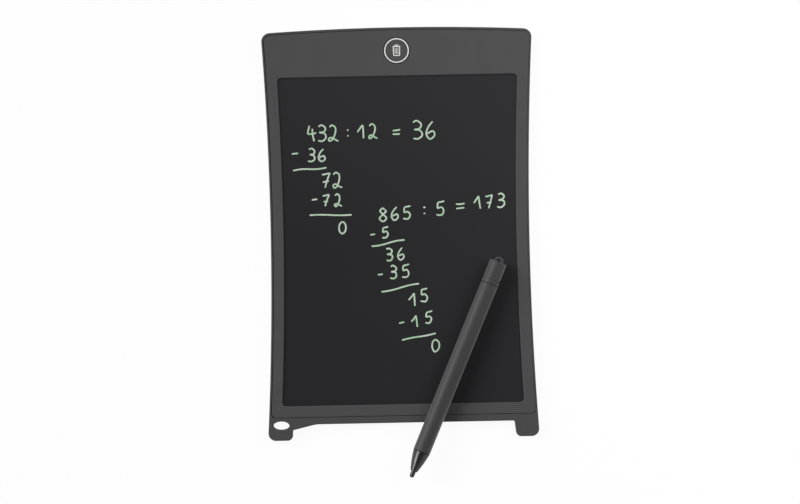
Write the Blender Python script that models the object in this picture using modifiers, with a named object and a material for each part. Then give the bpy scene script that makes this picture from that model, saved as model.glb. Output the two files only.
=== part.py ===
"""LCD writing tablet with its pen, lying on its back.

+X points right, +Y towards the erase button and +Z out of the screen. The origin is the middle of the
flat back. All lengths are metres.
"""
import math

import bmesh
import bpy
from mathutils import Matrix, Vector

MM = 0.001

# Body outline, seen from the front
WAIST = 138.9 * MM              # width where the bowed long sides come closest
SIDE_RADIUS = 1750.0 * MM       # bow of the long sides
TOP_RADIUS = 1290.0 * MM        # arch of the top edge
CORNER_RADIUS = 4.6 * MM        # top corners
EDGE_ROUND = 0.7 * MM           # rounding of the outer edges, front and back
WINDOW_LENGTH = 176.2 * MM      # writing window, top to bottom
WINDOW_SIDE = 7.0 * MM          # band beside the window, measured from the body's side
WINDOW_RADIUS = 2.0 * MM
BOTTOM_BAND = 9.95 * MM         # window's lower edge to the body's lower edge
FOOT_DROP = 8.5 * MM            # how far the two feet reach below the body
FOOT_WIDTH = 13.34 * MM         # each foot, from the body's side to the open stretch between the feet
FOOT_LEAN = 0.95 * MM           # how far the right foot narrows towards its end
FOOT_OUTER_RADIUS = 4.0 * MM
FOOT_INNER_RADIUS = 2.8 * MM
FOOT_FILLET = 1.0 * MM
RAMP_LENGTH = 12.7 * MM         # slope beside the left foot
RAMP_DROP = 3.0 * MM
RAMP_RADIUS = 20.0 * MM
EYE_LENGTH = 8.6 * MM           # oval lanyard eye in the left foot
EYE_HEIGHT = 4.6 * MM
EYE_FROM_SIDE = 6.75 * MM
EYE_DROP = 0.45 * MM            # eye centre below the body's lower edge

# Shells
FLOOR = 1.2 * MM                # rear cover's back wall
RIM = 1.0 * MM                  # rear cover's rim around the bezel
RIM_STEP = 0.15 * MM            # rim lies this far below the bezel's face
SEAM = 0.22 * MM                # line between rim and bezel
LEDGE = 0.93 * MM               # shelf that the bezel sits on
STRIP = 3.7 * MM                # rear cover's own strip below the bezel
STRIP_CORNER = 1.7 * MM         # corner cut off the bezel's lower ends
LIP = 0.45 * MM                 # bezel over the film
BEZEL_EDGE = 1.5 * MM           # bezel at its outer frame
BEZEL_FRAME = 1.6 * MM          # width of that frame
FIT = 0.08 * MM                 # gap between pieces that lie on each other

# Display stack
FILM_OVERLAP = 2.4 * MM         # film hidden under the bezel
WRITING_FILM = 0.25 * MM
BACKING_FILM = 0.35 * MM
TAPE = 0.1 * MM
TAPE_SETBACK = 0.4 * MM         # tape keeps this far from the window and from the film's edge
SUPPORT = 0.8 * MM              # stiff board behind the film
SUPPORT_SETBACK = 0.3 * MM
FOAM_WIDTH = 9.0 * MM
FOAM_SPREAD = 44.0 * MM
FOAM_INSET = 9.0 * MM           # foam ends this far short of the film's ends
TERMINAL = 1.2 * MM             # strip of backing film left bare for the flex tail

# Circuit board and erase key
STANDOFF = 0.8 * MM
BOARD = 0.6 * MM
BOARD_CLEARANCE = 0.8 * MM      # board to its neighbours
SWITCH_SIDE = 4.5 * MM
SWITCH_HEIGHT = 0.6 * MM
PLUNGER_RADIUS = 1.0 * MM
PLUNGER_SPARE = 0.1 * MM        # plunger still shows this much when pressed home
PLUNGER_SEAT = 0.1 * MM         # floor under the plunger's well
KEY_BELOW_TOP = 12.55 * MM      # key centre below the top edge
KEY_RADIUS = 7.0 * MM
KEY_GAP = 0.2 * MM
KEY_PROUD = 0.25 * MM
KEY_ROUND = 0.15 * MM
KEY_FLANGE = 0.4 * MM
KEY_FLANGE_WIDTH = 1.0 * MM
KEY_STEM = 0.2 * MM
KEY_STEM_RADIUS = 1.5 * MM
KEY_TRAVEL = 0.4 * MM

# Coin cell, its contacts and its door
CELL_X = 39.0 * MM
CELL_DIAMETER = 20.0 * MM
CELL_HEIGHT = 1.6 * MM
CELL_FIT = 0.25 * MM
CELL_CAP_STEP = 1.3 * MM        # ring left around the raised negative cap
CELL_CAP_RISE = 0.2 * MM
CELL_GAP = 0.3 * MM             # cell's well to the film
CELL_WALL = 2.95 * MM           # cell's well to the top edge
DOOR = 1.0 * MM
DOOR_INSET = 0.15 * MM          # door lies this far inside the back
DOOR_SEAT = 0.5 * MM            # door overlaps the well by this much
DOOR_GAP = 0.2 * MM
DOOR_END_RADIUS = 3.2 * MM
PAD_LEDGE = 1.0 * MM            # wall of the well above the door
PAD_MARGIN = 0.8 * MM
BOSS_RADIUS = 2.4 * MM
BOSS_CLEARANCE = 0.6 * MM
BOSS_CAP = 0.4 * MM
CONTACT = 0.2 * MM
CONTACT_WIDTH = 4.0 * MM
CONTACT_FOOT = 3.0 * MM
CONTACT_OFFSET = 5.0 * MM       # contacts pass this far above and below the cell's middle
CONTACT_TOUCH = 0.1 * MM        # side contact to the cell's rim

# Screws
DOOR_SCREW_RADIUS = 0.8 * MM
DOOR_SCREW_LENGTH = 2.6 * MM
DOOR_SCREW_HEAD = 1.7 * MM
BOARD_SCREW_RADIUS = 0.7 * MM
BOARD_SCREW_BITE = 1.2 * MM
BOARD_SCREW_HEAD = 1.4 * MM
SCREW_HEAD_HEIGHT = 0.5 * MM
SCREW_CLEARANCE = 0.15 * MM
CROSS_DEPTH = 0.3 * MM
CROSS_WIDTH = 0.5 * MM
STANDOFF_WALL = 1.2 * MM

# Erase lock, a slider in the back
LOCK_X = -38.0 * MM
LOCK_LENGTH = 6.0 * MM
LOCK_WIDTH = 3.2 * MM
LOCK_TRAVEL = 2.0 * MM
LOCK_INSET = 0.2 * MM
LOCK_GAP = 0.2 * MM
LOCK_FLANGE = 0.35 * MM
LOCK_FLANGE_WIDTH = 1.6 * MM
LOCK_GROOVES = 3
LOCK_GROOVE_DEPTH = 0.3 * MM
WIPER_SETBACK = 1.4 * MM

# Small components on the board: length, width and height
CHIP = (5.0 * MM, 4.0 * MM, 1.0 * MM)
INDUCTOR = (4.0 * MM, 4.0 * MM, 1.0 * MM)
CAPACITOR = (3.2 * MM, 1.6 * MM, 0.9 * MM)
DIODE = (2.7 * MM, 1.6 * MM, 0.9 * MM)
COMPONENT_ROUND = 0.12 * MM
TAIL_X = -16.0 * MM
TAIL_WIDTH = 10.0 * MM
TAIL = 0.2 * MM
TAIL_LANDING = 3.0 * MM

# Pen, measured from its nib
PEN_RADIUS = 4.65 * MM
PEN_ROUND = 0.3 * MM
NIB_RADIUS = 1.3 * MM
NIB_OUT = 3.6 * MM
NIB_HEAD = 1.0 * MM
CONE_LENGTH = 11.6 * MM
CONE_END_RADIUS = 1.9 * MM
CONE_SWELL = 0.25 * MM          # the cone bulges this much
BARREL_LENGTH = 96.7 * MM
BARREL_WALL = 1.0 * MM
SPIGOT_LENGTH = 7.0 * MM
SPIGOT_WALL = 1.2 * MM
CAP_LENGTH = 12.2 * MM
CAP_GROOVE = 0.6 * MM
CAP_GROOVE_DEPTH = 0.3 * MM
CAP_RING = 1.7 * MM             # ring between the groove and the barrel
LOOP_RADIUS = 2.0 * MM
LOOP_WIRE = 0.62 * MM
LOOP_RISE = 0.25 * MM           # centre of the loop above the cap's end
PEN_FIT = 0.1 * MM
PEN_JOINT = 0.08 * MM           # line between the pen's pieces
PEN_ANGLE = math.radians(23.2)  # from +Y towards +X
PEN_TIP_X = 3.4 * MM
PEN_OVERHANG = 20.4 * MM        # nib beyond the feet
PEN_REST_GAP = 0.08 * MM

# Facets
CORNER_STEPS = 6
SIDE_STEPS = 12
ARCH_STEPS = 10
ROUND_STEPS = 20
EYE_STEPS = 40
CELL_STEPS = 40
PEN_STEPS = 32
CONE_STEPS = 8
LOOP_STEPS = 24
WIRE_STEPS = 10
CROSSING_STEPS = 8              # rounds of the search for the top corners
STEEP = math.radians(50)        # edges that turn by more than this are rounded
WELD = 1e-6
FLAT = 1e-3                     # faces that meet within this angle are one face
BEYOND = 2.0 * MM               # how far a cutter reaches past what it cuts
SUNK = 0.4 * MM                 # how far a joined boss reaches into its wall

# Heights of the layers at the key, from the back up
FLOOR_TOP = FLOOR
BOARD_LOW = FLOOR_TOP + STANDOFF + FIT
BOARD_TOP = BOARD_LOW + BOARD
SWITCH_LOW = BOARD_TOP + FIT
SWITCH_TOP = SWITCH_LOW + SWITCH_HEIGHT
PLUNGER_TOP = SWITCH_TOP + KEY_TRAVEL + PLUNGER_SPARE
KEY_LOW = PLUNGER_TOP + FIT
FLANGE_LOW = KEY_LOW + KEY_STEM
FLANGE_TOP = FLANGE_LOW + KEY_FLANGE
CEILING = FLANGE_TOP + FIT      # underside of the bezel's lip
FACE = CEILING + LIP            # front face of the bezel
RIM_TOP = FACE - RIM_STEP
BEZEL_LOW = FACE - BEZEL_EDGE
LEDGE_TOP = BEZEL_LOW - FIT

# Heights of the layers at the window, from the bezel down
TAPE_TOP = CEILING - FIT
FILM_TOP = TAPE_TOP - TAPE - FIT
BACKING_TOP = FILM_TOP - WRITING_FILM - FIT
SUPPORT_TOP = BACKING_TOP - BACKING_FILM - FIT
FOAM_TOP = SUPPORT_TOP - SUPPORT - FIT
FOAM_LOW = FLOOR_TOP + FIT

# Heights at the coin cell
DOOR_TOP = DOOR_INSET + DOOR
RECESS_TOP = DOOR_TOP + FIT
PAD_TOP = RECESS_TOP + PAD_LEDGE
CELL_LOW = DOOR_TOP + FIT
CELL_TOP = CELL_LOW + CELL_HEIGHT
WELL_TOP = CELL_TOP + CELL_GAP
HEAD_LOW = DOOR_INSET + FIT
HEAD_TOP = HEAD_LOW + SCREW_HEAD_HEIGHT
DOOR_SCREW_TIP = HEAD_TOP + DOOR_SCREW_LENGTH
BOSS_TOP = DOOR_SCREW_TIP + SCREW_CLEARANCE + BOSS_CAP

# Places along Y
CELL_RADIUS = CELL_DIAMETER / 2
WELL_RADIUS = CELL_RADIUS + CELL_FIT
TOP_BAND = FILM_OVERLAP + CELL_GAP + 2 * WELL_RADIUS + CELL_WALL
BODY_LENGTH = TOP_BAND + WINDOW_LENGTH + BOTTOM_BAND + FOOT_DROP
TOP_Y = BODY_LENGTH / 2
FOOT_Y = -BODY_LENGTH / 2
BASE_Y = FOOT_Y + FOOT_DROP
WINDOW_HIGH = TOP_Y - TOP_BAND
WINDOW_LOW = BASE_Y + BOTTOM_BAND
FILM_HIGH = WINDOW_HIGH + FILM_OVERLAP
FILM_LOW = WINDOW_LOW - FILM_OVERLAP
KEY_Y = TOP_Y - KEY_BELOW_TOP
CELL_Y = FILM_HIGH + CELL_GAP + WELL_RADIUS
LOCK_Y = CELL_Y
SEAT_LOW = BASE_Y + STRIP

# Insets from the body's outline
BEZEL_INSET = RIM + SEAM
TRAY_INSET = BEZEL_INSET + LEDGE
POCKET_INSET = BEZEL_INSET + BEZEL_FRAME
FILM_INSET = WINDOW_SIDE - FILM_OVERLAP

# Places along X
SCREW_SPREAD = WELL_RADIUS + BOSS_CLEARANCE + BOSS_RADIUS
PAD_LEFT = CELL_X - SCREW_SPREAD - DOOR_END_RADIUS - PAD_MARGIN
BOARD_RIGHT = PAD_LEFT - BOARD_CLEARANCE
BOARD_LEFT = LOCK_X - LOCK_LENGTH / 2 - LOCK_FLANGE_WIDTH - 2 * BOARD_SCREW_HEAD
BOARD_SCREW_LEFT = LOCK_X + LOCK_LENGTH / 2 + LOCK_TRAVEL + LOCK_FLANGE_WIDTH + 2 * BOARD_SCREW_HEAD
BOARD_SCREW_RIGHT = KEY_RADIUS + KEY_FLANGE_WIDTH + 3 * BOARD_SCREW_HEAD
CONTACT_LEFT = BOARD_RIGHT - CONTACT_FOOT
STANDOFF_RADIUS = BOARD_SCREW_RADIUS + SCREW_CLEARANCE + STANDOFF_WALL

# Pen lengths, from the nib's tip
CONE_LOW = NIB_OUT
BARREL_LOW = CONE_LOW + CONE_LENGTH
CAP_LOW = BARREL_LOW + BARREL_LENGTH
PEN_END = CAP_LOW + CAP_LENGTH
BORE_RADIUS = PEN_RADIUS - BARREL_WALL
SPIGOT_RADIUS = BORE_RADIUS - PEN_FIT

# Looks: colour, roughness and metallic value
SHELL_LOOK = ((0.075, 0.075, 0.076), 0.55, 0.0)
KEY_LOOK = ((0.078, 0.078, 0.079), 0.5, 0.0)
WRITING_LOOK = ((0.025, 0.025, 0.027), 0.25, 0.0)
BACKING_LOOK = ((0.012, 0.012, 0.012), 0.5, 0.0)
TAPE_LOOK = ((0.015, 0.015, 0.016), 0.7, 0.0)
CARD_LOOK = ((0.35, 0.35, 0.34), 0.8, 0.0)
FOAM_LOOK = ((0.75, 0.75, 0.72), 0.9, 0.0)
FLEX_LOOK = ((0.55, 0.28, 0.05), 0.4, 0.0)
BOARD_LOOK = ((0.03, 0.12, 0.05), 0.45, 0.0)
STEEL_LOOK = ((0.55, 0.55, 0.56), 0.35, 1.0)
GOLDEN_LOOK = ((0.70, 0.52, 0.24), 0.35, 1.0)
EPOXY_LOOK = ((0.015, 0.015, 0.016), 0.5, 0.0)
FERRITE_LOOK = ((0.35, 0.35, 0.34), 0.5, 0.0)
CERAMIC_LOOK = ((0.45, 0.33, 0.22), 0.5, 0.0)
LOCK_LOOK = ((0.012, 0.012, 0.012), 0.5, 0.0)
PEN_LOOK = ((0.085, 0.085, 0.087), 0.4, 0.0)
CONE_LOOK = ((0.012, 0.012, 0.012), 0.12, 0.0)
NIB_LOOK = ((0.012, 0.012, 0.012), 0.4, 0.0)


def empty_scene():
    """Remove every object and make two collections: the tablet's pieces and the shapes that cut them."""
    for thing in list(bpy.data.objects):
        bpy.data.objects.remove(thing)
    homes = []
    for name in ("lcd_writing_tablet", "cutters"):
        home = bpy.data.collections.new(name)
        bpy.context.scene.collection.children.link(home)
        homes.append(home)
    return homes


PIECES, CUTTERS = empty_scene()


def add(name, mesh, cutter):
    """Put a mesh into the scene, as a piece or as a hidden cutter."""
    thing = bpy.data.objects.new(name, mesh)
    (CUTTERS if cutter else PIECES).objects.link(thing)
    thing.hide_render = cutter
    if cutter:
        thing.display_type = "WIRE"
    return thing


def finish(piece, look):
    """Give a piece its own material."""
    colour, roughness, metallic = look
    material = bpy.data.materials.new(piece.name + "_finish")
    material.use_nodes = True
    shader = material.node_tree.nodes["Principled BSDF"]
    shader.inputs["Base Color"].default_value = (*colour, 1.0)
    shader.inputs["Roughness"].default_value = roughness
    shader.inputs["Metallic"].default_value = metallic
    piece.data.materials.append(material)
    return piece


def boolean(piece, tool, operation):
    modifier = piece.modifiers.new(tool.name, "BOOLEAN")
    modifier.operation = operation
    modifier.object = tool


def cut(piece, *tools):
    for tool in tools:
        boolean(piece, tool, "DIFFERENCE")


def join(piece, *tools):
    for tool in tools:
        boolean(piece, tool, "UNION")


def round_edges(piece, width, segments=1):
    """Round the edges where faces meet steeply."""
    modifier = piece.modifiers.new("edges", "BEVEL")
    modifier.limit_method = "ANGLE"
    modifier.angle_limit = STEEP
    modifier.width = width
    modifier.segments = segments
    modifier.use_clamp_overlap = False


def rounded(corners):
    """Outline through (x, y, radius) corners, each turned by an arc of its radius."""
    outline = []
    for index, (x, y, radius) in enumerate(corners):
        here = Vector((x, y))
        if not radius:
            outline.append(here)
            continue
        before = (Vector(corners[index - 1][:2]) - here).normalized()
        after = (Vector(corners[(index + 1) % len(corners)][:2]) - here).normalized()
        half = before.angle(after) / 2
        centre = here + (before + after).normalized() * radius / math.sin(half)
        start = here + before * radius / math.tan(half) - centre
        end = here + after * radius / math.tan(half) - centre
        first = math.atan2(start.y, start.x)
        sweep = math.remainder(math.atan2(end.y, end.x) - first, math.tau)
        for step in range(CORNER_STEPS + 1):
            angle = first + sweep * step / CORNER_STEPS
            outline.append(centre + radius * Vector((math.cos(angle), math.sin(angle))))
    return outline


def side_x(y, inset):
    """Half width at height y: an arc about a centre far out on +X, moved in by inset."""
    return WAIST / 2 + SIDE_RADIUS - math.sqrt((SIDE_RADIUS + inset) ** 2 - y ** 2)


def top_y(x, inset):
    """Height of the arched top edge at x, moved in by inset."""
    return TOP_Y - TOP_RADIUS + math.sqrt((TOP_RADIUS - inset) ** 2 - x ** 2)


def top_corner(inset):
    """Where the bowed side and the arched top cross."""
    y = TOP_Y
    for _ in range(CROSSING_STEPS):
        x = side_x(y, inset)
        y = top_y(x, inset)
    return x, y


def spread(low, high, steps):
    return [low + (high - low) * step / steps for step in range(steps + 1)]


def upper_half(inset, low):
    """Corners up the right side from low, over the top and down the left side."""
    x, y = top_corner(inset)
    radius = CORNER_RADIUS - inset
    right = [(side_x(h, inset), h, 0) for h in spread(low, y - 2 * radius, SIDE_STEPS)]
    arch = [(w, top_y(w, inset), 0) for w in spread(x - 2 * radius, 2 * radius - x, ARCH_STEPS)]
    left = [(-w, h, 0) for w, h, _ in reversed(right)]
    return right + [(x, y, radius)] + arch + [(-x, y, radius)] + left


def body_outline():
    """The rear cover's outline with its two feet, anticlockwise from the right foot."""
    foot_x = side_x(FOOT_Y, 0)
    half_gap = foot_x - FOOT_WIDTH
    feet = [
        (-foot_x, FOOT_Y, FOOT_OUTER_RADIUS),
        (-half_gap, FOOT_Y, FOOT_INNER_RADIUS),
        (-half_gap, BASE_Y - RAMP_DROP, FOOT_FILLET),
        (-half_gap + RAMP_LENGTH, BASE_Y, RAMP_RADIUS),
        (half_gap, BASE_Y, FOOT_FILLET),
        (half_gap + FOOT_LEAN, FOOT_Y, FOOT_INNER_RADIUS),
        (foot_x, FOOT_Y, FOOT_OUTER_RADIUS),
    ]
    return rounded(upper_half(0, FOOT_Y + 2 * FOOT_OUTER_RADIUS) + feet)


def shield(inset, low, corner):
    """Body shape moved in by inset, with a straight lower edge whose corners are cut off."""
    x = side_x(low, inset) - corner
    return rounded(upper_half(inset, low + corner) + [(-x, low, 0), (x, low, 0)])


def pane(inset, low, high, radius):
    """Window shape: bowed sides moved in by inset, straight ends, round corners."""
    heights = spread(low, high, SIDE_STEPS)
    right = [(side_x(h, inset), h, 0) for h in heights]
    right[0] = (*right[0][:2], radius)
    right[-1] = (*right[-1][:2], radius)
    left = [(-x, h, r) for x, h, r in reversed(right)]
    return rounded(right + left)


def door_outline(grow):
    """Convex outline round the cell's circle and the two screw ends, all grown by grow."""
    middle = WELL_RADIUS + DOOR_SEAT + grow
    end = DOOR_END_RADIUS + grow
    lean = math.acos((middle - end) / SCREW_SPREAD)
    quarter = []
    for angle in spread(0, lean, CORNER_STEPS):
        quarter.append((SCREW_SPREAD + end * math.cos(angle), end * math.sin(angle)))
    for angle in spread(lean, math.pi / 2, CORNER_STEPS):
        quarter.append((middle * math.cos(angle), middle * math.sin(angle)))
    upper = quarter + [(-x, y) for x, y in reversed(quarter[:-1])]
    lower = [(-x, -y) for x, y in upper[1:-1]]
    return [Vector((CELL_X + x, CELL_Y + y)) for x, y in upper + lower]


def slab(name, loops, low, high, cutter=False):
    """Flat outline, with holes for any further loops, extruded from low to high."""
    curve = bpy.data.curves.new(name, "CURVE")
    curve.dimensions = "2D"
    curve.fill_mode = "BOTH"
    curve.extrude = (high - low) / 2
    for loop in loops:
        spline = curve.splines.new("POLY")
        spline.points.add(len(loop) - 1)
        for point, place in zip(spline.points, loop):
            point.co = (place.x, place.y, 0, 1)
        spline.use_cyclic_u = True
    outline = bpy.data.objects.new(name + "_outline", curve)
    outline.location.z = (low + high) / 2
    CUTTERS.objects.link(outline)
    bpy.context.view_layer.update()
    mesh = bpy.data.meshes.new_from_object(outline.evaluated_get(bpy.context.evaluated_depsgraph_get()))
    mesh.name = name
    solid = add(name, mesh, cutter)
    solid.matrix_world = outline.matrix_world
    bpy.data.objects.remove(outline)
    shape = bmesh.new()
    shape.from_mesh(mesh)
    bmesh.ops.remove_doubles(shape, verts=shape.verts, dist=WELD)
    bmesh.ops.dissolve_limit(shape, angle_limit=FLAT, verts=shape.verts, edges=shape.edges)
    bmesh.ops.recalc_face_normals(shape, faces=shape.faces)
    shape.to_mesh(mesh)
    shape.free()
    return solid


def box(name, low, high, cutter=False):
    """Box between two corners."""
    low = Vector(low)
    high = Vector(high)
    mesh = bpy.data.meshes.new(name)
    shape = bmesh.new()
    bmesh.ops.create_cube(shape, size=1.0)
    bmesh.ops.scale(shape, vec=high - low, verts=shape.verts)
    shape.to_mesh(mesh)
    shape.free()
    solid = add(name, mesh, cutter)
    solid.location = (low + high) / 2
    return solid


def cylinder(name, x, y, radius, low, high, cutter=False, steps=ROUND_STEPS):
    """Upright cylinder from low to high."""
    mesh = bpy.data.meshes.new(name)
    shape = bmesh.new()
    bmesh.ops.create_cone(
        shape, cap_ends=True, segments=steps, radius1=radius, radius2=radius, depth=high - low)
    shape.to_mesh(mesh)
    shape.free()
    solid = add(name, mesh, cutter)
    solid.location = (x, y, (low + high) / 2)
    return solid


def turned(name, profile, closed=False, steps=ROUND_STEPS):
    """Turn a (radius, height) profile about Z. It runs down its outer side."""
    mesh = bpy.data.meshes.new(name)
    edges = [(i, i + 1) for i in range(len(profile) - 1)]
    if closed:
        edges.append((len(profile) - 1, 0))
    mesh.from_pydata([(r, 0, z) for r, z in profile], edges, [])
    piece = add(name, mesh, False)
    screw = piece.modifiers.new("turn", "SCREW")
    screw.steps = steps
    screw.render_steps = steps
    screw.use_merge_vertices = True
    screw.merge_threshold = WELD
    screw.use_smooth_shade = True
    return piece


def cross_cutters(name, x, y, reach, low, high):
    """Two crossed bars that cut a driver's cross into a screw head."""
    half = CROSS_WIDTH / 2
    along = box(name + "_cross_x", (x - reach, y - half, low), (x + reach, y + half, high), True)
    across = box(name + "_cross_y", (x - half, y - reach, low), (x + half, y + reach, high), True)
    return along, across


# Shells


def rear_cover():
    """Tray with its rim, bezel shelf, feet, lanyard eye, cell well, bosses and lock slot."""
    cover = slab("rear_cover", [body_outline()], 0, RIM_TOP)
    round_edges(cover, EDGE_ROUND, 2)
    above = FACE + BEYOND
    seat = shield(RIM, SEAT_LOW, STRIP_CORNER)
    tray_low = SEAT_LOW + SEAM + LEDGE
    tray = shield(TRAY_INSET, tray_low, STRIP_CORNER)
    cut(cover, slab("bezel_seat_cut", [seat], LEDGE_TOP, above, True))
    cut(cover, slab("tray_cut", [tray], FLOOR_TOP, above, True))

    pad = slab("cell_pad", [door_outline(PAD_MARGIN)], FLOOR_TOP - SUNK, PAD_TOP, True)
    join(cover, pad)
    for side in (-1, 1):
        x = CELL_X + side * SCREW_SPREAD
        join(cover, cylinder("door_boss", x, CELL_Y, BOSS_RADIUS, PAD_TOP - SUNK, BOSS_TOP, True))
    recess = slab("door_recess_cut", [door_outline(DOOR_GAP)], -BEYOND, RECESS_TOP, True)
    well = cylinder("cell_well_cut", CELL_X, CELL_Y, WELL_RADIUS, DOOR_INSET, WELL_TOP, True, CELL_STEPS)
    cut(cover, recess, well)
    pilot_radius = DOOR_SCREW_RADIUS + SCREW_CLEARANCE
    for side in (-1, 1):
        x = CELL_X + side * SCREW_SPREAD
        top = DOOR_SCREW_TIP + SCREW_CLEARANCE
        cut(cover, cylinder("door_pilot_cut", x, CELL_Y, pilot_radius, DOOR_INSET, top, True))

    screw_hole = BOARD_SCREW_RADIUS + SCREW_CLEARANCE
    standoff_top = FLOOR_TOP + STANDOFF
    for x, y in board_screw_places():
        join(cover, cylinder("standoff", x, y, STANDOFF_RADIUS, FLOOR_TOP - SUNK, standoff_top, True))
        bottom = standoff_top - BOARD_SCREW_BITE - SCREW_CLEARANCE
        cut(cover, cylinder("standoff_cut", x, y, screw_hole, bottom, above, True))
    for x, y in board_rest_places():
        join(cover, cylinder("board_rest", x, y, STANDOFF_WALL, FLOOR_TOP - SUNK, standoff_top, True))

    slot_low = (LOCK_X - LOCK_LENGTH / 2 - LOCK_GAP, LOCK_Y - LOCK_WIDTH / 2 - LOCK_GAP, -BEYOND)
    slot_high = (LOCK_X + LOCK_LENGTH / 2 + LOCK_TRAVEL + LOCK_GAP, LOCK_Y + LOCK_WIDTH / 2 + LOCK_GAP,
                 FLOOR_TOP + FIT)
    cut(cover, box("lock_slot_cut", slot_low, slot_high, True))

    eye_y = BASE_Y - EYE_DROP
    eye_x = EYE_FROM_SIDE - side_x(eye_y, 0)
    eye = []
    for step in range(EYE_STEPS):
        angle = math.tau * step / EYE_STEPS
        x = eye_x + math.cos(angle) * EYE_LENGTH / 2
        y = eye_y + math.sin(angle) * EYE_HEIGHT / 2
        eye.append(Vector((x, y)))
    cut(cover, slab("lanyard_eye_cut", [eye], -BEYOND, above, True))
    finish(cover, SHELL_LOOK)


def bezel_low():
    """Lower edge of the front bezel."""
    return SEAT_LOW + SEAM


def front_bezel():
    """Front plate: thin lip over the film, thicker frame at its outer edge, window and key hole."""
    bezel = slab("front_bezel", [shield(BEZEL_INSET, bezel_low(), STRIP_CORNER)], BEZEL_LOW, FACE)
    pocket = shield(POCKET_INSET, bezel_low() + BEZEL_FRAME, STRIP_CORNER)
    window = pane(WINDOW_SIDE, WINDOW_LOW, WINDOW_HIGH, WINDOW_RADIUS)
    cut(bezel, slab("bezel_pocket_cut", [pocket], BEZEL_LOW - BEYOND, CEILING, True))
    cut(bezel, slab("window_cut", [window], BEZEL_LOW, FACE + BEYOND, True))
    hole = KEY_RADIUS + KEY_GAP
    cut(bezel, cylinder("key_hole_cut", 0, KEY_Y, hole, BEZEL_LOW, FACE + BEYOND, True, CELL_STEPS))
    finish(bezel, SHELL_LOOK)


# Display


def film_pane(setback, high):
    """Film shape, moved in by setback, up to high."""
    return pane(FILM_INSET + setback, FILM_LOW + setback, high, 0)


def display():
    """Writing film, backing film, tape, support board and foam strips, from the front down."""
    tape_window = pane(WINDOW_SIDE - TAPE_SETBACK, WINDOW_LOW - TAPE_SETBACK, WINDOW_HIGH + TAPE_SETBACK,
                       WINDOW_RADIUS)
    film_high = FILM_HIGH - TERMINAL
    tape_edge = film_pane(TAPE_SETBACK, film_high)
    tape = slab("film_tape_frame", [tape_edge, tape_window], TAPE_TOP - TAPE, TAPE_TOP)
    finish(tape, TAPE_LOOK)
    writing = slab("writing_film", [film_pane(0, film_high)], FILM_TOP - WRITING_FILM, FILM_TOP)
    finish(writing, WRITING_LOOK)
    backing = slab("backing_film", [film_pane(0, FILM_HIGH)], BACKING_TOP - BACKING_FILM, BACKING_TOP)
    finish(backing, BACKING_LOOK)
    support_edge = film_pane(SUPPORT_SETBACK, FILM_HIGH - SUPPORT_SETBACK)
    support = slab("support_board", [support_edge], SUPPORT_TOP - SUPPORT, SUPPORT_TOP)
    finish(support, CARD_LOOK)
    for name, x in (("left", -FOAM_SPREAD), ("middle", 0), ("right", FOAM_SPREAD)):
        low = (x - FOAM_WIDTH / 2, FILM_LOW + FOAM_INSET, FOAM_LOW)
        high = (x + FOAM_WIDTH / 2, FILM_HIGH - FOAM_INSET, FOAM_TOP)
        foam = box("foam_strip_" + name, low, high)
        finish(foam, FOAM_LOOK)


def film_tail():
    """Flex tail from the backing film's bare strip down to the circuit board, as a bent sheet."""
    upper = BACKING_TOP + FIT + TAIL / 2
    lower = BOARD_TOP + FIT + TAIL / 2
    board_low = FILM_HIGH + BOARD_CLEARANCE
    path = [
        (FILM_HIGH - TERMINAL + TAPE_SETBACK, upper),
        (FILM_HIGH + BOARD_CLEARANCE / 2, upper),
        (board_low + BOARD_CLEARANCE, lower),
        (board_low + BOARD_CLEARANCE + TAIL_LANDING, lower),
    ]
    left = TAIL_X - TAIL_WIDTH / 2
    right = TAIL_X + TAIL_WIDTH / 2
    points = [(x, y, z) for y, z in path for x in (left, right)]
    faces = [(2 * i, 2 * i + 1, 2 * i + 3, 2 * i + 2) for i in range(len(path) - 1)]
    mesh = bpy.data.meshes.new("film_tail")
    mesh.from_pydata(points, [], faces)
    tail = add("film_tail", mesh, False)
    wall = tail.modifiers.new("thickness", "SOLIDIFY")
    wall.thickness = TAIL
    wall.offset = 0
    finish(tail, FLEX_LOOK)


# Circuit board and erase key


def board_edges():
    """Board's lower and upper edge."""
    return FILM_HIGH + BOARD_CLEARANCE, top_y(BOARD_LEFT, TRAY_INSET) - BOARD_CLEARANCE


def board_screw_places():
    y = sum(board_edges()) / 2 - SWITCH_SIDE / 2
    return (BOARD_SCREW_LEFT, y), (BOARD_SCREW_RIGHT, y)


def board_rest_places():
    x = BOARD_LEFT + 2 * STANDOFF_WALL
    low, high = board_edges()
    return (x, low + 2 * STANDOFF_WALL), (x, high - 2 * STANDOFF_WALL)


def circuit_board():
    low, high = board_edges()
    board = box("circuit_board", (BOARD_LEFT, low, BOARD_LOW), (BOARD_RIGHT, high, BOARD_TOP))
    hole = BOARD_SCREW_RADIUS + SCREW_CLEARANCE
    bottom = BOARD_LOW - BEYOND
    for x, y in board_screw_places():
        cut(board, cylinder("board_hole_cut", x, y, hole, bottom, BOARD_TOP + BEYOND, True))
    finish(board, BOARD_LOOK)


def board_screws():
    head_low = BOARD_TOP + FIT
    head_top = head_low + SCREW_HEAD_HEIGHT
    tip = FLOOR_TOP + STANDOFF - BOARD_SCREW_BITE
    for name, (x, y) in zip(("board_screw_left", "board_screw_right"), board_screw_places()):
        screw = turned(name, [(0, head_top), (BOARD_SCREW_HEAD, head_top), (BOARD_SCREW_HEAD, head_low),
                              (BOARD_SCREW_RADIUS, head_low), (BOARD_SCREW_RADIUS, tip), (0, tip)])
        screw.location = (x, y, 0)
        reach = BOARD_SCREW_HEAD - CROSS_WIDTH / 2
        cut(screw, *cross_cutters(name, x, y, reach, head_top - CROSS_DEPTH, head_top + BEYOND))
        finish(screw, STEEL_LOOK)


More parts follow.
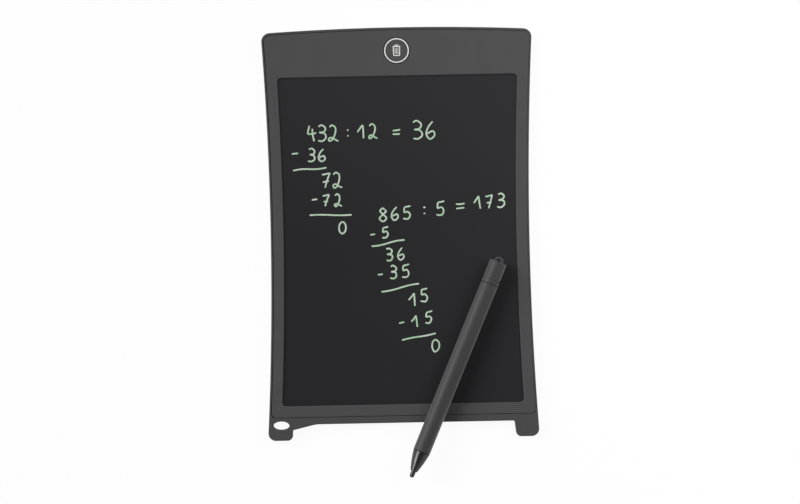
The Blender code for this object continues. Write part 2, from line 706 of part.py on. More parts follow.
def component(name, size, x, y, look):
    """Small part soldered on the board."""
    length, width, height = size
    low = (x - length / 2, y - width / 2, SWITCH_LOW)
    high = (x + length / 2, y + width / 2, SWITCH_LOW + height)
    part = box(name, low, high)
    round_edges(part, COMPONENT_ROUND)
    finish(part, look)


def components():
    """Charge pump for the erase pulse, beside the key."""
    chip_x = -(KEY_RADIUS + KEY_FLANGE_WIDTH + CHIP[0])
    inductor_x = chip_x - CHIP[0] / 2 - INDUCTOR[0]
    row = KEY_Y + CHIP[1]
    component("pulse_controller", CHIP, chip_x, KEY_Y - CHIP[1] / 2, EPOXY_LOOK)
    component("boost_inductor", INDUCTOR, inductor_x, KEY_Y - INDUCTOR[1] / 2, FERRITE_LOOK)
    component("pulse_capacitor", CAPACITOR, chip_x, row, CERAMIC_LOOK)
    component("rectifier_diode", DIODE, chip_x - 2 * DIODE[0], row, EPOXY_LOOK)
    component("supply_capacitor", CAPACITOR, BOARD_SCREW_RIGHT, row, CERAMIC_LOOK)


def erase_switch():
    """Push switch under the key: a square body with a round well, and the plunger in it."""
    half = SWITCH_SIDE / 2
    body = box("erase_switch_body", (-half, KEY_Y - half, SWITCH_LOW), (half, KEY_Y + half, SWITCH_TOP))
    well = PLUNGER_RADIUS + SCREW_CLEARANCE
    well_low = SWITCH_LOW + PLUNGER_SEAT
    cut(body, cylinder("plunger_well_cut", 0, KEY_Y, well, well_low, SWITCH_TOP + BEYOND, True))
    finish(body, STEEL_LOOK)
    plunger_low = well_low + FIT + KEY_TRAVEL
    plunger = cylinder("erase_switch_plunger", 0, KEY_Y, PLUNGER_RADIUS, plunger_low, PLUNGER_TOP)
    finish(plunger, EPOXY_LOOK)


def erase_button():
    """Round key: slightly proud cap, flange behind the bezel, short stem on the plunger."""
    top = FACE + KEY_PROUD
    flange = KEY_RADIUS + KEY_FLANGE_WIDTH
    key = turned("erase_button", [
        (0, top), (KEY_RADIUS - KEY_ROUND, top), (KEY_RADIUS, top - KEY_ROUND), (KEY_RADIUS, FLANGE_TOP),
        (flange, FLANGE_TOP), (flange, FLANGE_LOW), (KEY_STEM_RADIUS, FLANGE_LOW),
        (KEY_STEM_RADIUS, KEY_LOW), (0, KEY_LOW)], steps=CELL_STEPS)
    key.location = (0, KEY_Y, 0)
    finish(key, KEY_LOOK)


# Coin cell


def coin_cell():
    """Can with the slightly smaller negative cap towards the front."""
    step = CELL_TOP - CELL_CAP_RISE
    cell = turned("coin_cell", [
        (0, CELL_TOP), (CELL_RADIUS - CELL_CAP_STEP, CELL_TOP), (CELL_RADIUS - CELL_CAP_STEP, step),
        (CELL_RADIUS, step), (CELL_RADIUS, CELL_LOW), (0, CELL_LOW)], steps=CELL_STEPS)
    cell.location = (CELL_X, CELL_Y, 0)
    finish(cell, STEEL_LOOK)


def cell_contacts():
    """Minus leaf over the cell, and the plus strip whose turned-down end meets the cell's rim."""
    board = BOARD_TOP + FIT
    half = CONTACT_WIDTH / 2
    leaf_low = max(CELL_TOP, BOARD_TOP) + FIT
    y = CELL_Y + CONTACT_OFFSET
    minus = box("cell_contact_minus", (CONTACT_LEFT, y - half, leaf_low),
                (CELL_X, y + half, leaf_low + CONTACT))
    foot_right = CONTACT_LEFT + CONTACT_FOOT
    join(minus, box("minus_foot", (CONTACT_LEFT, y - half, board),
                    (foot_right - CONTACT, y + half, leaf_low + CONTACT / 2), True))
    finish(minus, GOLDEN_LOOK)

    y = CELL_Y - CONTACT_OFFSET
    strip_low = max(BOARD_TOP, PAD_TOP) + FIT
    nearest = CONTACT_OFFSET - half
    rim_x = CELL_X - math.sqrt(CELL_RADIUS ** 2 - nearest ** 2) - CONTACT_TOUCH
    plus = box("cell_contact_plus", (CONTACT_LEFT, y - half, strip_low),
               (rim_x, y + half, strip_low + CONTACT))
    join(plus, box("plus_foot", (CONTACT_LEFT, y - half, board),
                   (foot_right - CONTACT, y + half, strip_low + CONTACT / 2), True))
    join(plus, box("plus_tab", (rim_x - CONTACT, y - half, PAD_TOP + FIT),
                   (rim_x, y + half, strip_low + CONTACT / 2), True))
    finish(plus, GOLDEN_LOOK)


def battery_door():
    """Door in the back with a sunk hole for the screw at each end, and the two screws."""
    door = slab("battery_door", [door_outline(0)], DOOR_INSET, DOOR_TOP)
    hole = DOOR_SCREW_RADIUS + SCREW_CLEARANCE
    sink = DOOR_SCREW_HEAD + SCREW_CLEARANCE
    for name, side in (("left", -1), ("right", 1)):
        x = CELL_X + side * SCREW_SPREAD
        cut(door, cylinder("door_hole_cut", x, CELL_Y, hole, -BEYOND, DOOR_TOP + BEYOND, True))
        cut(door, cylinder("door_sink_cut", x, CELL_Y, sink, -BEYOND, HEAD_TOP + FIT, True))
        screw = turned("door_screw_" + name, [
            (0, DOOR_SCREW_TIP), (DOOR_SCREW_RADIUS, DOOR_SCREW_TIP), (DOOR_SCREW_RADIUS, HEAD_TOP),
            (DOOR_SCREW_HEAD, HEAD_TOP), (DOOR_SCREW_HEAD, HEAD_LOW), (0, HEAD_LOW)])
        screw.location = (x, CELL_Y, 0)
        reach = DOOR_SCREW_HEAD - CROSS_WIDTH / 2
        cut(screw, *cross_cutters(screw.name, x, CELL_Y, reach, -BEYOND, HEAD_LOW + CROSS_DEPTH))
        finish(screw, STEEL_LOOK)
    finish(door, SHELL_LOOK)


# Erase lock


def erase_lock():
    """Slider whose grooved knob shows in the back, and the wiper that it carries under the board."""
    half_length = LOCK_LENGTH / 2
    half_width = LOCK_WIDTH / 2
    flange_low = FLOOR_TOP + FIT
    flange_top = flange_low + LOCK_FLANGE
    slider = box("lock_slider", (LOCK_X - half_length, LOCK_Y - half_width, LOCK_INSET),
                 (LOCK_X + half_length, LOCK_Y + half_width, flange_low + LOCK_FLANGE / 2))
    reach_x = half_length + LOCK_FLANGE_WIDTH
    reach_y = half_width + LOCK_FLANGE_WIDTH
    join(slider, box("lock_flange", (LOCK_X - reach_x, LOCK_Y - reach_y, flange_low),
                     (LOCK_X + reach_x, LOCK_Y + reach_y, flange_top), True))
    pitch = LOCK_LENGTH / (LOCK_GROOVES + 1)
    for index in range(LOCK_GROOVES):
        x = LOCK_X - half_length + (index + 1) * pitch
        low = (x - pitch / 4, LOCK_Y - half_width - BEYOND, LOCK_INSET - BEYOND)
        high = (x + pitch / 4, LOCK_Y + half_width + BEYOND, LOCK_INSET + LOCK_GROOVE_DEPTH)
        cut(slider, box("lock_groove_cut", low, high, True))
    finish(slider, LOCK_LOOK)
    wiper = box("lock_wiper",
                (LOCK_X - reach_x + WIPER_SETBACK, LOCK_Y - reach_y + WIPER_SETBACK, flange_top + FIT),
                (LOCK_X + reach_x - WIPER_SETBACK, LOCK_Y + reach_y - WIPER_SETBACK, BOARD_LOW - FIT))
    finish(wiper, GOLDEN_LOOK)


# Pen


def pen_axis():
    """Empty at the nib's tip whose Z runs up the pen. The pen leans on the window's lower edge and on
    the film, so it dips towards its cap by the depth of the window."""
    tip_y = FOOT_Y - PEN_OVERHANG
    edge = (WINDOW_LOW - tip_y) / math.cos(PEN_ANGLE)
    dip = math.asin((FACE - FILM_TOP) / (PEN_END - edge))
    along = Vector((math.sin(PEN_ANGLE) * math.cos(dip), math.cos(PEN_ANGLE) * math.cos(dip),
                    -math.sin(dip)))
    across = along.cross(Vector((0, 0, 1))).normalized()
    up = across.cross(along)
    tip_z = FACE + PEN_REST_GAP + PEN_RADIUS / math.cos(dip) + edge * math.tan(dip)
    turn = Matrix((across, -up, along)).transposed()
    axis = bpy.data.objects.new("pen_axis", None)
    CUTTERS.objects.link(axis)
    axis.matrix_world = Matrix.Translation((PEN_TIP_X, tip_y, tip_z)) @ turn.to_4x4()
    return axis


def pen_nib():
    """Round-ended rod with a head behind the cone that keeps it in."""
    rear = BARREL_LOW + SPIGOT_LENGTH + PEN_JOINT
    tip = [(NIB_RADIUS * math.cos(a), NIB_RADIUS - NIB_RADIUS * math.sin(a))
           for a in spread(0, math.pi / 2, CORNER_STEPS)]
    tip[-1] = (0, 0)
    head = [(0, rear + NIB_HEAD), (NIB_RADIUS + SPIGOT_WALL / 2, rear + NIB_HEAD),
            (NIB_RADIUS + SPIGOT_WALL / 2, rear), (NIB_RADIUS, rear)]
    nib = turned("pen_nib", head + tip)
    return finish(nib, NIB_LOOK)


def pen_tip_cone():
    """Gently swelling cone with a bore for the nib and a spigot that plugs into the barrel."""
    top = BARREL_LOW - PEN_JOINT
    spigot_top = BARREL_LOW + SPIGOT_LENGTH
    profile = [(SPIGOT_RADIUS, spigot_top), (SPIGOT_RADIUS, top)]
    for share in spread(0, 1, CONE_STEPS):
        swell = CONE_SWELL * math.sin(math.pi * share)
        radius = PEN_RADIUS + (CONE_END_RADIUS - PEN_RADIUS) * share + swell
        profile.append((radius, top + (CONE_LOW - top) * share))
    bore = NIB_RADIUS + PEN_FIT
    profile += [(bore, CONE_LOW), (bore, spigot_top)]
    return finish(turned("pen_tip_cone", profile, True, PEN_STEPS), CONE_LOOK)


def pen_barrel():
    """Plain tube with softened ends."""
    low = BARREL_LOW
    high = CAP_LOW - PEN_JOINT
    shoulder = PEN_RADIUS - PEN_ROUND
    profile = [(BORE_RADIUS, high), (shoulder, high), (PEN_RADIUS, high - PEN_ROUND),
               (PEN_RADIUS, low + PEN_ROUND), (shoulder, low), (BORE_RADIUS, low)]
    return finish(turned("pen_barrel", profile, True, PEN_STEPS), PEN_LOOK)


def pen_end_cap(axis):
    """Cap with a groove near the barrel, a spigot inside it and a cord loop on its end."""
    shoulder = PEN_RADIUS - PEN_ROUND
    floor = PEN_RADIUS - CAP_GROOVE_DEPTH
    groove_low = CAP_LOW + CAP_RING
    groove_high = groove_low + CAP_GROOVE
    cap = turned("pen_end_cap", [
        (0, PEN_END), (shoulder, PEN_END), (PEN_RADIUS, PEN_END - PEN_ROUND), (PEN_RADIUS, groove_high),
        (floor, groove_high), (floor, groove_low), (PEN_RADIUS, groove_low),
        (PEN_RADIUS, CAP_LOW + PEN_ROUND), (shoulder, CAP_LOW), (SPIGOT_RADIUS, CAP_LOW),
        (SPIGOT_RADIUS, CAP_LOW - SPIGOT_LENGTH), (0, CAP_LOW - SPIGOT_LENGTH)], steps=PEN_STEPS)
    bpy.ops.mesh.primitive_torus_add(
        major_radius=LOOP_RADIUS, minor_radius=LOOP_WIRE, major_segments=LOOP_STEPS,
        minor_segments=WIRE_STEPS)
    torus = bpy.context.object
    loop = add("cord_loop", torus.data, True)
    bpy.data.objects.remove(torus)
    loop.location = (0, 0, PEN_END + LOOP_RISE)
    loop.rotation_euler = (math.pi / 2, 0, 0)
    loop.parent = axis
    join(cap, loop)
    return finish(cap, PEN_LOOK)


def pen():
    axis = pen_axis()
    for piece in (pen_nib(), pen_tip_cone(), pen_barrel(), pen_end_cap(axis)):
        piece.parent = axis


def main():
    rear_cover()
    front_bezel()
    display()
    film_tail()
    circuit_board()
    board_screws()
    components()
    erase_switch()
    erase_button()
    coin_cell()
    cell_contacts()
    battery_door()
    erase_lock()
    pen()


main()
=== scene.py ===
"""Looks of the LCD writing tablet and its pen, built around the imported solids.

Lengths are metres in the solids' frame: +X right, +Y towards the erase key, +Z out of the screen.
"""
import math

import bmesh
import bpy
import numpy as np
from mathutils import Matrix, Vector
from mathutils.geometry import tessellate_polygon


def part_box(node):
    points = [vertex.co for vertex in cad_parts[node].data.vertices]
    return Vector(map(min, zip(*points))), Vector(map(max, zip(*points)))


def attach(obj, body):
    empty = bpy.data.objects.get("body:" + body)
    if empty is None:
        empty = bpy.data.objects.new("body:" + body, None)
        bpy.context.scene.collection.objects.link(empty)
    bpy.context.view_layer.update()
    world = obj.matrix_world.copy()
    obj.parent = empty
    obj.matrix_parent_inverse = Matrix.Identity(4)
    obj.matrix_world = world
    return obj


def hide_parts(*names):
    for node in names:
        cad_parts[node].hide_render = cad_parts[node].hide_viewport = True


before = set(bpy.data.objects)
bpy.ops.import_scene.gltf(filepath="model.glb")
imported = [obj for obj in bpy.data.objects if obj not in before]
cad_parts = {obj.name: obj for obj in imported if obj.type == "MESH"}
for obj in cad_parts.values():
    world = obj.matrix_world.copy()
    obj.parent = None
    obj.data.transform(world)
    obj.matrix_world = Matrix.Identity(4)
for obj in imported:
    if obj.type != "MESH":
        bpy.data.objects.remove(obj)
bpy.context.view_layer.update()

MM = 0.001

# Body outline
WAIST = 138.9 * MM              # width where the bowed long sides come closest
SIDE_RADIUS = 1750.0 * MM
TOP_RADIUS = 1290.0 * MM
CORNER_RADIUS = 4.6 * MM
EDGE_ROUND = 0.7 * MM
RIM_ROUND = 0.4 * MM            # sharper at the front
FOOT_DROP = 8.5 * MM
FOOT_WIDTH = 13.34 * MM
FOOT_LEAN = 0.95 * MM
FOOT_OUTER_RADIUS = 4.0 * MM
FOOT_INNER_RADIUS = 2.8 * MM
FOOT_FILLET = 1.0 * MM
RAMP_LENGTH = 12.7 * MM
RAMP_DROP = 3.0 * MM
RAMP_RADIUS = 20.0 * MM
EYE_LENGTH = 8.6 * MM
EYE_HEIGHT = 4.6 * MM
EYE_FROM_SIDE = 6.75 * MM
EYE_DROP = 0.45 * MM
EYE_ROUND = 0.35 * MM

# Shells
RIM = 1.0 * MM
RIM_EXTRA = 0.3 * MM            # wider along the top edge
SEAM = 0.22 * MM                # gap round the bezel
LEDGE = 0.93 * MM               # shelf that the bezel lies on
STRIP = 3.7 * MM                # part of the cover below the bezel
STRIP_CORNER = 1.7 * MM
STRIP_CORNER_ROUND = 0.2 * MM
LIP = 0.45 * MM                 # thickness of the bezel over the film
BEZEL_FRAME = 1.6 * MM
FIT = 0.08 * MM                 # clearance between layers
FLOOR_TOP = 1.2 * MM
LINE_ROUND = 0.12 * MM          # softened edge at a parting line
SKIN = 0.02 * MM                # keeps the looks just inside the solids
BEZEL_ROUND = 0.15 * MM
BEZEL_SHIFT = 0.14 * MM         # the plate sits against the right side of its seat
WINDOW_LENGTH = 176.2 * MM
WINDOW_SIDE = 7.0 * MM
WINDOW_RADIUS = 2.0 * MM
WINDOW_ROUND = 0.38 * MM
BOTTOM_BAND = 9.95 * MM

# Erase key
KEY_RADIUS = 7.0 * MM
KEY_GAP = 0.2 * MM
KEY_ROUND = 0.2 * MM
KEY_DISH = 0.05 * MM
KEY_FLANGE = 0.4 * MM
KEY_STEM = 0.2 * MM
KEY_STEM_RADIUS = 1.5 * MM
RING_RADIUS = 6.3 * MM
RING_WIDTH = 0.5 * MM
PRINT_HEIGHT = 0.02 * MM
SIGN_LINE = 0.42 * MM
SIGN_BAR = 0.26 * MM

# Bin sign on the key, in millimetres from its middle
LID_HALF = 2.1
LID_HEIGHT = 2.15
HANDLE = ((-1.0, 2.4), (-0.7, 2.85), (0.0, 2.95), (0.7, 2.85), (1.0, 2.4))
BIN_TOP = np.array((1.75, 2.0))
BIN_FOOT = np.array((1.6, -2.7))
BIN_CORNER = 0.4
BAR_PITCH = 0.8
BAR_TOP = 1.5
BAR_FOOT = -2.0

# Battery door and erase lock
WELL_RADIUS = 10.25 * MM
DOOR_SEAT = 0.5 * MM
DOOR_GAP = 0.2 * MM
DOOR_END_RADIUS = 3.2 * MM
PAD_LEDGE = 1.0 * MM
PAD_MARGIN = 0.8 * MM
BOSS_RADIUS = 2.4 * MM
BOSS_CAP = 0.4 * MM
SCREW_CLEARANCE = 0.15 * MM
SCREW_ROUND = 0.15 * MM
CROSS_DEPTH = 0.3 * MM
CROSS_WIDTH = 0.5 * MM
CROSS_SLOPE = 0.08 * MM
STANDOFF = 0.8 * MM
STANDOFF_WALL = 1.2 * MM
BOARD_SCREW_BITE = 1.2 * MM
BOARD_SCREW_RADIUS = 0.7 * MM
DOOR_SCREW_RADIUS = 0.8 * MM
SCREW_HEAD_HEIGHT = 0.5 * MM
LOCK_WIDTH = 3.2 * MM
LOCK_LENGTH = 6.0 * MM
LOCK_TRAVEL = 2.0 * MM
LOCK_GAP = 0.2 * MM
LOCK_FLANGE = 0.35 * MM
LOCK_ROUND = 0.2 * MM
LOCK_GROOVES = 3
LOCK_GROOVE_DEPTH = 0.3 * MM

# Pen, measured from its nib
PEN_RADIUS = 4.65 * MM
PEN_ROUND = 0.3 * MM
NIB_RADIUS = 1.3 * MM
NIB_OUT = 3.6 * MM
NIB_HEAD = 1.0 * MM
CONE_LENGTH = 11.6 * MM
CONE_END_RADIUS = 1.9 * MM
CONE_SWELL = 0.25 * MM
CONE_END_ROUND = 0.25 * MM
BARREL_LENGTH = 96.7 * MM
BARREL_WALL = 1.0 * MM
SPIGOT_LENGTH = 7.0 * MM
SPIGOT_WALL = 1.2 * MM
CAP_LENGTH = 12.2 * MM
CAP_GROOVE = 0.6 * MM
CAP_GROOVE_DEPTH = 0.45 * MM
CAP_RING = 1.7 * MM
LOOP_RADIUS = 2.0 * MM
LOOP_WIRE = 0.62 * MM
LOOP_RISE = 0.25 * MM
PEN_FIT = 0.1 * MM
PEN_JOINT = 0.08 * MM
COLLAR_WIDTH = 0.4 * MM         # black collar in the joint at either end of the barrel, a painted shade for the joint's gap
COLLAR_DEPTH = 0.2 * MM
COLLAR_ROUND = 0.12 * MM
PEN_ANGLE = math.radians(23.2)
PEN_TIP_X = 3.4 * MM
PEN_OVERHANG = 20.4 * MM
PEN_REST_GAP = 0.08 * MM

# Handwriting
INK_WIDTH = 1.08 * MM
INK_HEIGHT = 0.012 * MM
INK_LIFT = 0.003 * MM
HAND_SEED = 7
DIGIT_UNITS = 100               # units of a digit's shape in its height
DIGIT_LEAN = 0.02               # sideways per height
LEAN_SPREAD = 0.03
SIZE_SPREAD = 0.02
POINT_SPREAD = 0.012
INK_COOL = (0.38, 0.60, 0.38)
INK_WARM = (0.68, 0.69, 0.66)
INK_RIM = (0.17, 0.30, 0.17)
INK_EDGE = (0.022, 0.042, 0.024)
INK_CORE_END = 0.5              # shares of the way from a stroke's middle to its edge
INK_RIM_PLACE = 0.8
INK_DRIFT = 260.0               # waves per metre
INK_GRAIN = 900.0
INK_DETAIL = 2.0

# Finishes: how much larger the clouds and the gloss are than the grain, and how far the roughness wanders
CLOUD_SIZE = 24
GLOSS_SIZE = 6
GLOSS_SPREAD = 0.03
SHEEN_ROUGHNESS = 0.5
NOISE_DETAIL = 3.0
NOISE_LEAST = 0.3               # usual least and most of a noise
NOISE_MOST = 0.7
UNSTRETCHED = (1.0, 1.0, 1.0)
WHITE = (1.0, 1.0, 1.0, 1.0)

# Sampling
SIDE_STEPS = 64
ARCH_STEPS = 64
CORNER_STEPS = 16
ROUND_STEPS = 8
CIRCLE_STEPS = 128
SMALL_CIRCLE_STEPS = 64
CROSSING_ROUNDS = 8
CURVE_STEPS = 24
LINE_POINTS = 6
STROKE_STEP = 0.16 * MM
STROKE_LEAST = 8
STROKE_SECTION = 13
DISH_STEPS = 24
RING_SECTION = 9
CROSS_STEPS = 40
LOCK_STEPS = 160
LOCK_ROWS = 9
CONE_STEPS = 40
CONE_CUT = 4                    # steps that the rounded end takes up
BARREL_STEPS = 64
GROOVE_STEPS = 25
WIRE_STEPS = 24
WELD = 1e-6
CREASE = math.radians(32)
FLAT_WEIGHT = 100
MIRROR = np.array((-1.0, 1.0))
HOLE = MIRROR                   # an outer wall's profile becomes a hole's


def span(node):
    """Lowest and highest corner of a solid."""
    low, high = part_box(node)
    return np.array(low), np.array(high)


def middle(node):
    """Middle of a solid, seen from the front."""
    low, high = span(node)
    return (low + high)[:2] / 2


# Heights and places that the solids give
COVER_LOW, COVER_HIGH = span("rear_cover")
BEZEL_LOW, FACE = span("front_bezel")[0][2], span("front_bezel")[1][2]
FILM_TOP = span("writing_film")[1][2]
KEY_LOW, KEY_HIGH = span("erase_button")
KEY_CENTRE = middle("erase_button")
DOOR_LOW, DOOR_HIGH = span("battery_door")
CELL_CENTRE = middle("coin_cell")
LOCK_LOW, LOCK_HIGH = span("lock_slider")
LOCK_CENTRE = middle("lock_slider")
SCREW_SPREAD = middle("door_screw_right")[0] - CELL_CENTRE[0]

RIM_TOP = COVER_HIGH[2]
TOP_Y = COVER_HIGH[1]
FOOT_Y = COVER_LOW[1]
BASE_Y = FOOT_Y + FOOT_DROP
WINDOW_LOW = BASE_Y + BOTTOM_BAND
WINDOW_HIGH = WINDOW_LOW + WINDOW_LENGTH
SEAT_LOW = BASE_Y + STRIP
BEZEL_FOOT = SEAT_LOW + SEAM
CEILING = FACE - LIP
LEDGE_TOP = BEZEL_LOW - FIT
BEZEL_INSET = RIM + SEAM
TRAY_INSET = BEZEL_INSET + LEDGE
RECESS_TOP = DOOR_HIGH[2] + FIT
PAD_TOP = RECESS_TOP + PAD_LEDGE

CONE_LOW = NIB_OUT
BARREL_LOW = CONE_LOW + CONE_LENGTH
CAP_LOW = BARREL_LOW + BARREL_LENGTH
PEN_END = CAP_LOW + CAP_LENGTH
BORE_RADIUS = PEN_RADIUS - BARREL_WALL
SPIGOT_RADIUS = BORE_RADIUS - PEN_FIT


# Paths: closed, anticlockwise, one row per point


def columns(x, y):
    """Points (x, y) from two rows of numbers, or from a number and a row."""
    return np.column_stack(np.broadcast_arrays(x, y)).astype(float)


def joined(*paths):
    """Rows of points, one after the other."""
    return np.concatenate(paths)


def side_x(y, inset=0.0):
    """Half width at height y: a circle about a centre far to the right, grown by inset."""
    return WAIST / 2 + SIDE_RADIUS - np.sqrt((SIDE_RADIUS + inset) ** 2 - y ** 2)


def top_y(x, inset=0.0):
    """Height of the top edge at x: a circle about a centre far below, shrunk by inset."""
    return TOP_Y - TOP_RADIUS + np.sqrt((TOP_RADIUS - inset) ** 2 - x ** 2)


def arc(centre, radius, first, last, steps=CORNER_STEPS):
    """Centre plus radius times (cos, sin) of evenly spread angles."""
    angle = np.linspace(first, last, steps + 1)
    return np.asarray(centre) + radius * columns(np.cos(angle), np.sin(angle))


def circle(centre, radius, steps=CIRCLE_STEPS):
    """Full turn of an arc. Two radii make it an ellipse."""
    return arc(centre, radius, 0, math.tau, steps)[:-1]


def upper_round(x, z, radius):
    """Quarter circle from the level edge at z to the upright one at x."""
    return arc((x - radius, z - radius), radius, math.pi / 2, 0, ROUND_STEPS)


def lower_round(x, z, radius):
    """Quarter circle from the upright edge at x to the level one at z below it."""
    return arc((x - radius, z + radius), radius, 0, -math.pi / 2, ROUND_STEPS)


def corner(before, here, after, radius):
    """Arc of the given radius that touches the legs from here to before and from here to after."""
    here = np.asarray(here, float)
    first = np.asarray(before, float) - here
    last = np.asarray(after, float) - here
    first /= np.linalg.norm(first)
    last /= np.linalg.norm(last)
    half = math.acos(np.clip(first @ last, -1, 1)) / 2
    bisector = (first + last) / np.linalg.norm(first + last)
    centre = here + bisector * radius / math.sin(half)
    start = here + first * radius / math.tan(half) - centre
    end = here + last * radius / math.tan(half) - centre
    begin = math.atan2(start[1], start[0])
    sweep = math.remainder(math.atan2(end[1], end[0]) - begin, math.tau)
    return arc(centre, radius, begin, begin + sweep)


def chain(before, corners, after):
    """Corners (x, y, radius) in a row between two given points, each as an arc."""
    places = [before, *[c[:2] for c in corners], after]
    turns = [corner(places[i], places[i + 1], places[i + 2], c[2]) for i, c in enumerate(corners)]
    return np.concatenate(turns)


def moved(path, inset):
    """Path moved in by inset: each point goes along (a + b) / (1 + a.b), where a and b are the normals of
    its two edges, so that every edge moves by the same distance."""
    edge = np.roll(path, -1, 0) - path
    normal = columns(edge[:, 1], -edge[:, 0])
    normal /= np.linalg.norm(normal, axis=1, keepdims=True)
    before = np.roll(normal, 1, 0)
    share = 1 + (normal * before).sum(1, keepdims=True)
    return path - inset * (normal + before) / share


def top_corner(inset):
    """Crossing of the bowed side and the arched top, found by going to and fro between them."""
    y = TOP_Y
    for _ in range(CROSSING_ROUNDS):
        x = side_x(y, inset)
        y = top_y(x, inset)
    return x, y


def upper_part(inset, low):
    """Right side from low upwards, rounded corner, arched top, rounded corner, left side down to low."""
    x, y = top_corner(inset)
    radius = CORNER_RADIUS - inset
    heights = np.linspace(low, y - 2 * radius, SIDE_STEPS)
    widths = np.linspace(x - 2 * radius, 2 * radius - x, ARCH_STEPS)
    right = columns(side_x(heights, inset), heights)
    top = columns(widths, top_y(widths, inset))
    left = right[::-1] * MIRROR
    return joined(
        right, corner(right[-1], (x, y), top[0], radius), top,
        corner(top[-1], (-x, y), left[0], radius), left)


def body_outline():
    """Upper part closed by the two feet, the slope beside the left one and the straight lower edge."""
    foot_x = side_x(FOOT_Y)
    half_gap = foot_x - FOOT_WIDTH
    upper = upper_part(0.0, FOOT_Y + 2 * FOOT_OUTER_RADIUS)
    feet = [
        (-foot_x, FOOT_Y, FOOT_OUTER_RADIUS),
        (-half_gap, FOOT_Y, FOOT_INNER_RADIUS),
        (-half_gap, BASE_Y - RAMP_DROP, FOOT_FILLET),
        (-half_gap + RAMP_LENGTH, BASE_Y, RAMP_RADIUS),
        (half_gap, BASE_Y, FOOT_FILLET),
        (half_gap + FOOT_LEAN, FOOT_Y, FOOT_INNER_RADIUS),
        (foot_x, FOOT_Y, FOOT_OUTER_RADIUS),
    ]
    return joined(upper, chain(upper[-1], feet, upper[0]))


def shield(inset, low):
    """Upper part moved in by inset, closed by a straight lower edge with its corners cut off."""
    x = side_x(low, inset) - STRIP_CORNER
    shoulder = low + STRIP_CORNER
    upper = upper_part(inset, shoulder + STRIP_CORNER)
    edge = [
        (-side_x(shoulder, inset), shoulder, STRIP_CORNER_ROUND),
        (-x, low, STRIP_CORNER_ROUND),
        (x, low, STRIP_CORNER_ROUND),
        (side_x(shoulder, inset), shoulder, STRIP_CORNER_ROUND),
    ]
    return joined(upper, chain(upper[-1], edge, upper[0]))


def lowered(path, drop):
    """Path squeezed lengthwise, so that its highest point comes down by drop and its lowest one stays."""
    x, y = path.T
    return columns(x, y - drop * (y - y.min()) / np.ptp(y))


def window_outline():
    """Bowed sides moved in from the body's sides, straight ends, rounded corners."""
    heights = np.linspace(WINDOW_LOW + 2 * WINDOW_RADIUS, WINDOW_HIGH - 2 * WINDOW_RADIUS, SIDE_STEPS)
    right = columns(side_x(heights, WINDOW_SIDE), heights)
    left = right[::-1] * MIRROR
    high_x = side_x(WINDOW_HIGH, WINDOW_SIDE)
    low_x = side_x(WINDOW_LOW, WINDOW_SIDE)
    top = [(high_x, WINDOW_HIGH, WINDOW_RADIUS), (-high_x, WINDOW_HIGH, WINDOW_RADIUS)]
    foot = [(-low_x, WINDOW_LOW, WINDOW_RADIUS), (low_x, WINDOW_LOW, WINDOW_RADIUS)]
    return joined(right, chain(right[-1], top, left[0]), left, chain(left[-1], foot, right[0]))


def door_outline(grow):
    """Convex outline of a large circle round the cell and a small one round each screw, all grown."""
    large = WELL_RADIUS + DOOR_SEAT + grow
    small = DOOR_END_RADIUS + grow
    lean = math.acos((large - small) / SCREW_SPREAD)
    shift = np.array((SCREW_SPREAD, 0.0))
    return joined(
        arc(CELL_CENTRE + shift, small, -lean, lean), arc(CELL_CENTRE, large, lean, math.pi - lean),
        arc(CELL_CENTRE - shift, small, math.pi - lean, math.pi + lean),
        arc(CELL_CENTRE, large, math.pi + lean, math.tau - lean))


def rectangle(low, high, radius):
    """Rectangle between two corners, with rounded corners."""
    places = [(high[0], low[1]), (high[0], high[1]), (low[0], high[1]), (low[0], low[1])]
    corners = [(*place, radius) for place in places]
    return chain(places[-1], corners, places[0])


# Surfaces: patches of points and faces, put together into closed shells


def ring(path, z):
    """Path at height z."""
    return np.column_stack([path, np.full(len(path), z)])


def wall(*rings):
    """Band through closed rings of equally many points: face (i, j) joins points j and j + 1 of the rings
    i and i + 1."""
    count = len(rings[0])
    row, place = np.meshgrid(np.arange(len(rings) - 1), np.arange(count), indexing="ij")
    after = (place + 1) % count
    faces = np.stack([row * count + place, row * count + after,
                      (row + 1) * count + after, (row + 1) * count + place], -1)
    return np.concatenate(rings), faces.reshape(-1, 4)


def upright(path, low, high):
    """Straight wall on a path between two heights."""
    return wall(ring(path, low), ring(path, high))


def flat(z, *paths):
    """Level face inside the first path, with the other paths as holes."""
    triangles = tessellate_polygon([ring(path, 0.0).tolist() for path in paths])
    return np.concatenate([ring(path, z) for path in paths]), np.array(triangles)


def soft_edge(low, high, round_low, round_high):
    """Profile (inset, height) of an upright wall: a quarter circle, a straight line, a quarter circle."""
    angle = np.linspace(0, math.pi / 2, ROUND_STEPS + 1)
    lower = columns(round_low * (1 - np.sin(angle)), low + round_low * (1 - np.cos(angle)))
    upper = columns(round_high * (1 - np.cos(angle)), high - round_high * (1 - np.sin(angle)))
    if not round_low:
        lower = lower[:1]
    if not round_high:
        upper = upper[:1]
    return joined(lower, upper)


def band(path, profile):
    """Profile (inset, height) carried round a closed path."""
    return wall(*[ring(moved(path, inset), z) for inset, z in profile])


def full_turn(steps):
    """Angles evenly spread round a circle."""
    return np.linspace(0, math.tau, steps, endpoint=False)


def turned(profile, steps=CIRCLE_STEPS):
    """Profile (radius, height) turned about Z: (r cos a, r sin a, z)."""
    angle = full_turn(steps)
    around = columns(np.cos(angle), np.sin(angle))
    return wall(*[ring(radius * around, z) for radius, z in profile])


def shifted(patch, x, y):
    """Patch moved sideways."""
    points, faces = patch
    return points + (x, y, 0.0), faces


def placed(name, data):
    """Object with the given data, in the scene."""
    item = bpy.data.objects.new(name, data)
    bpy.context.scene.collection.objects.link(item)
    return item


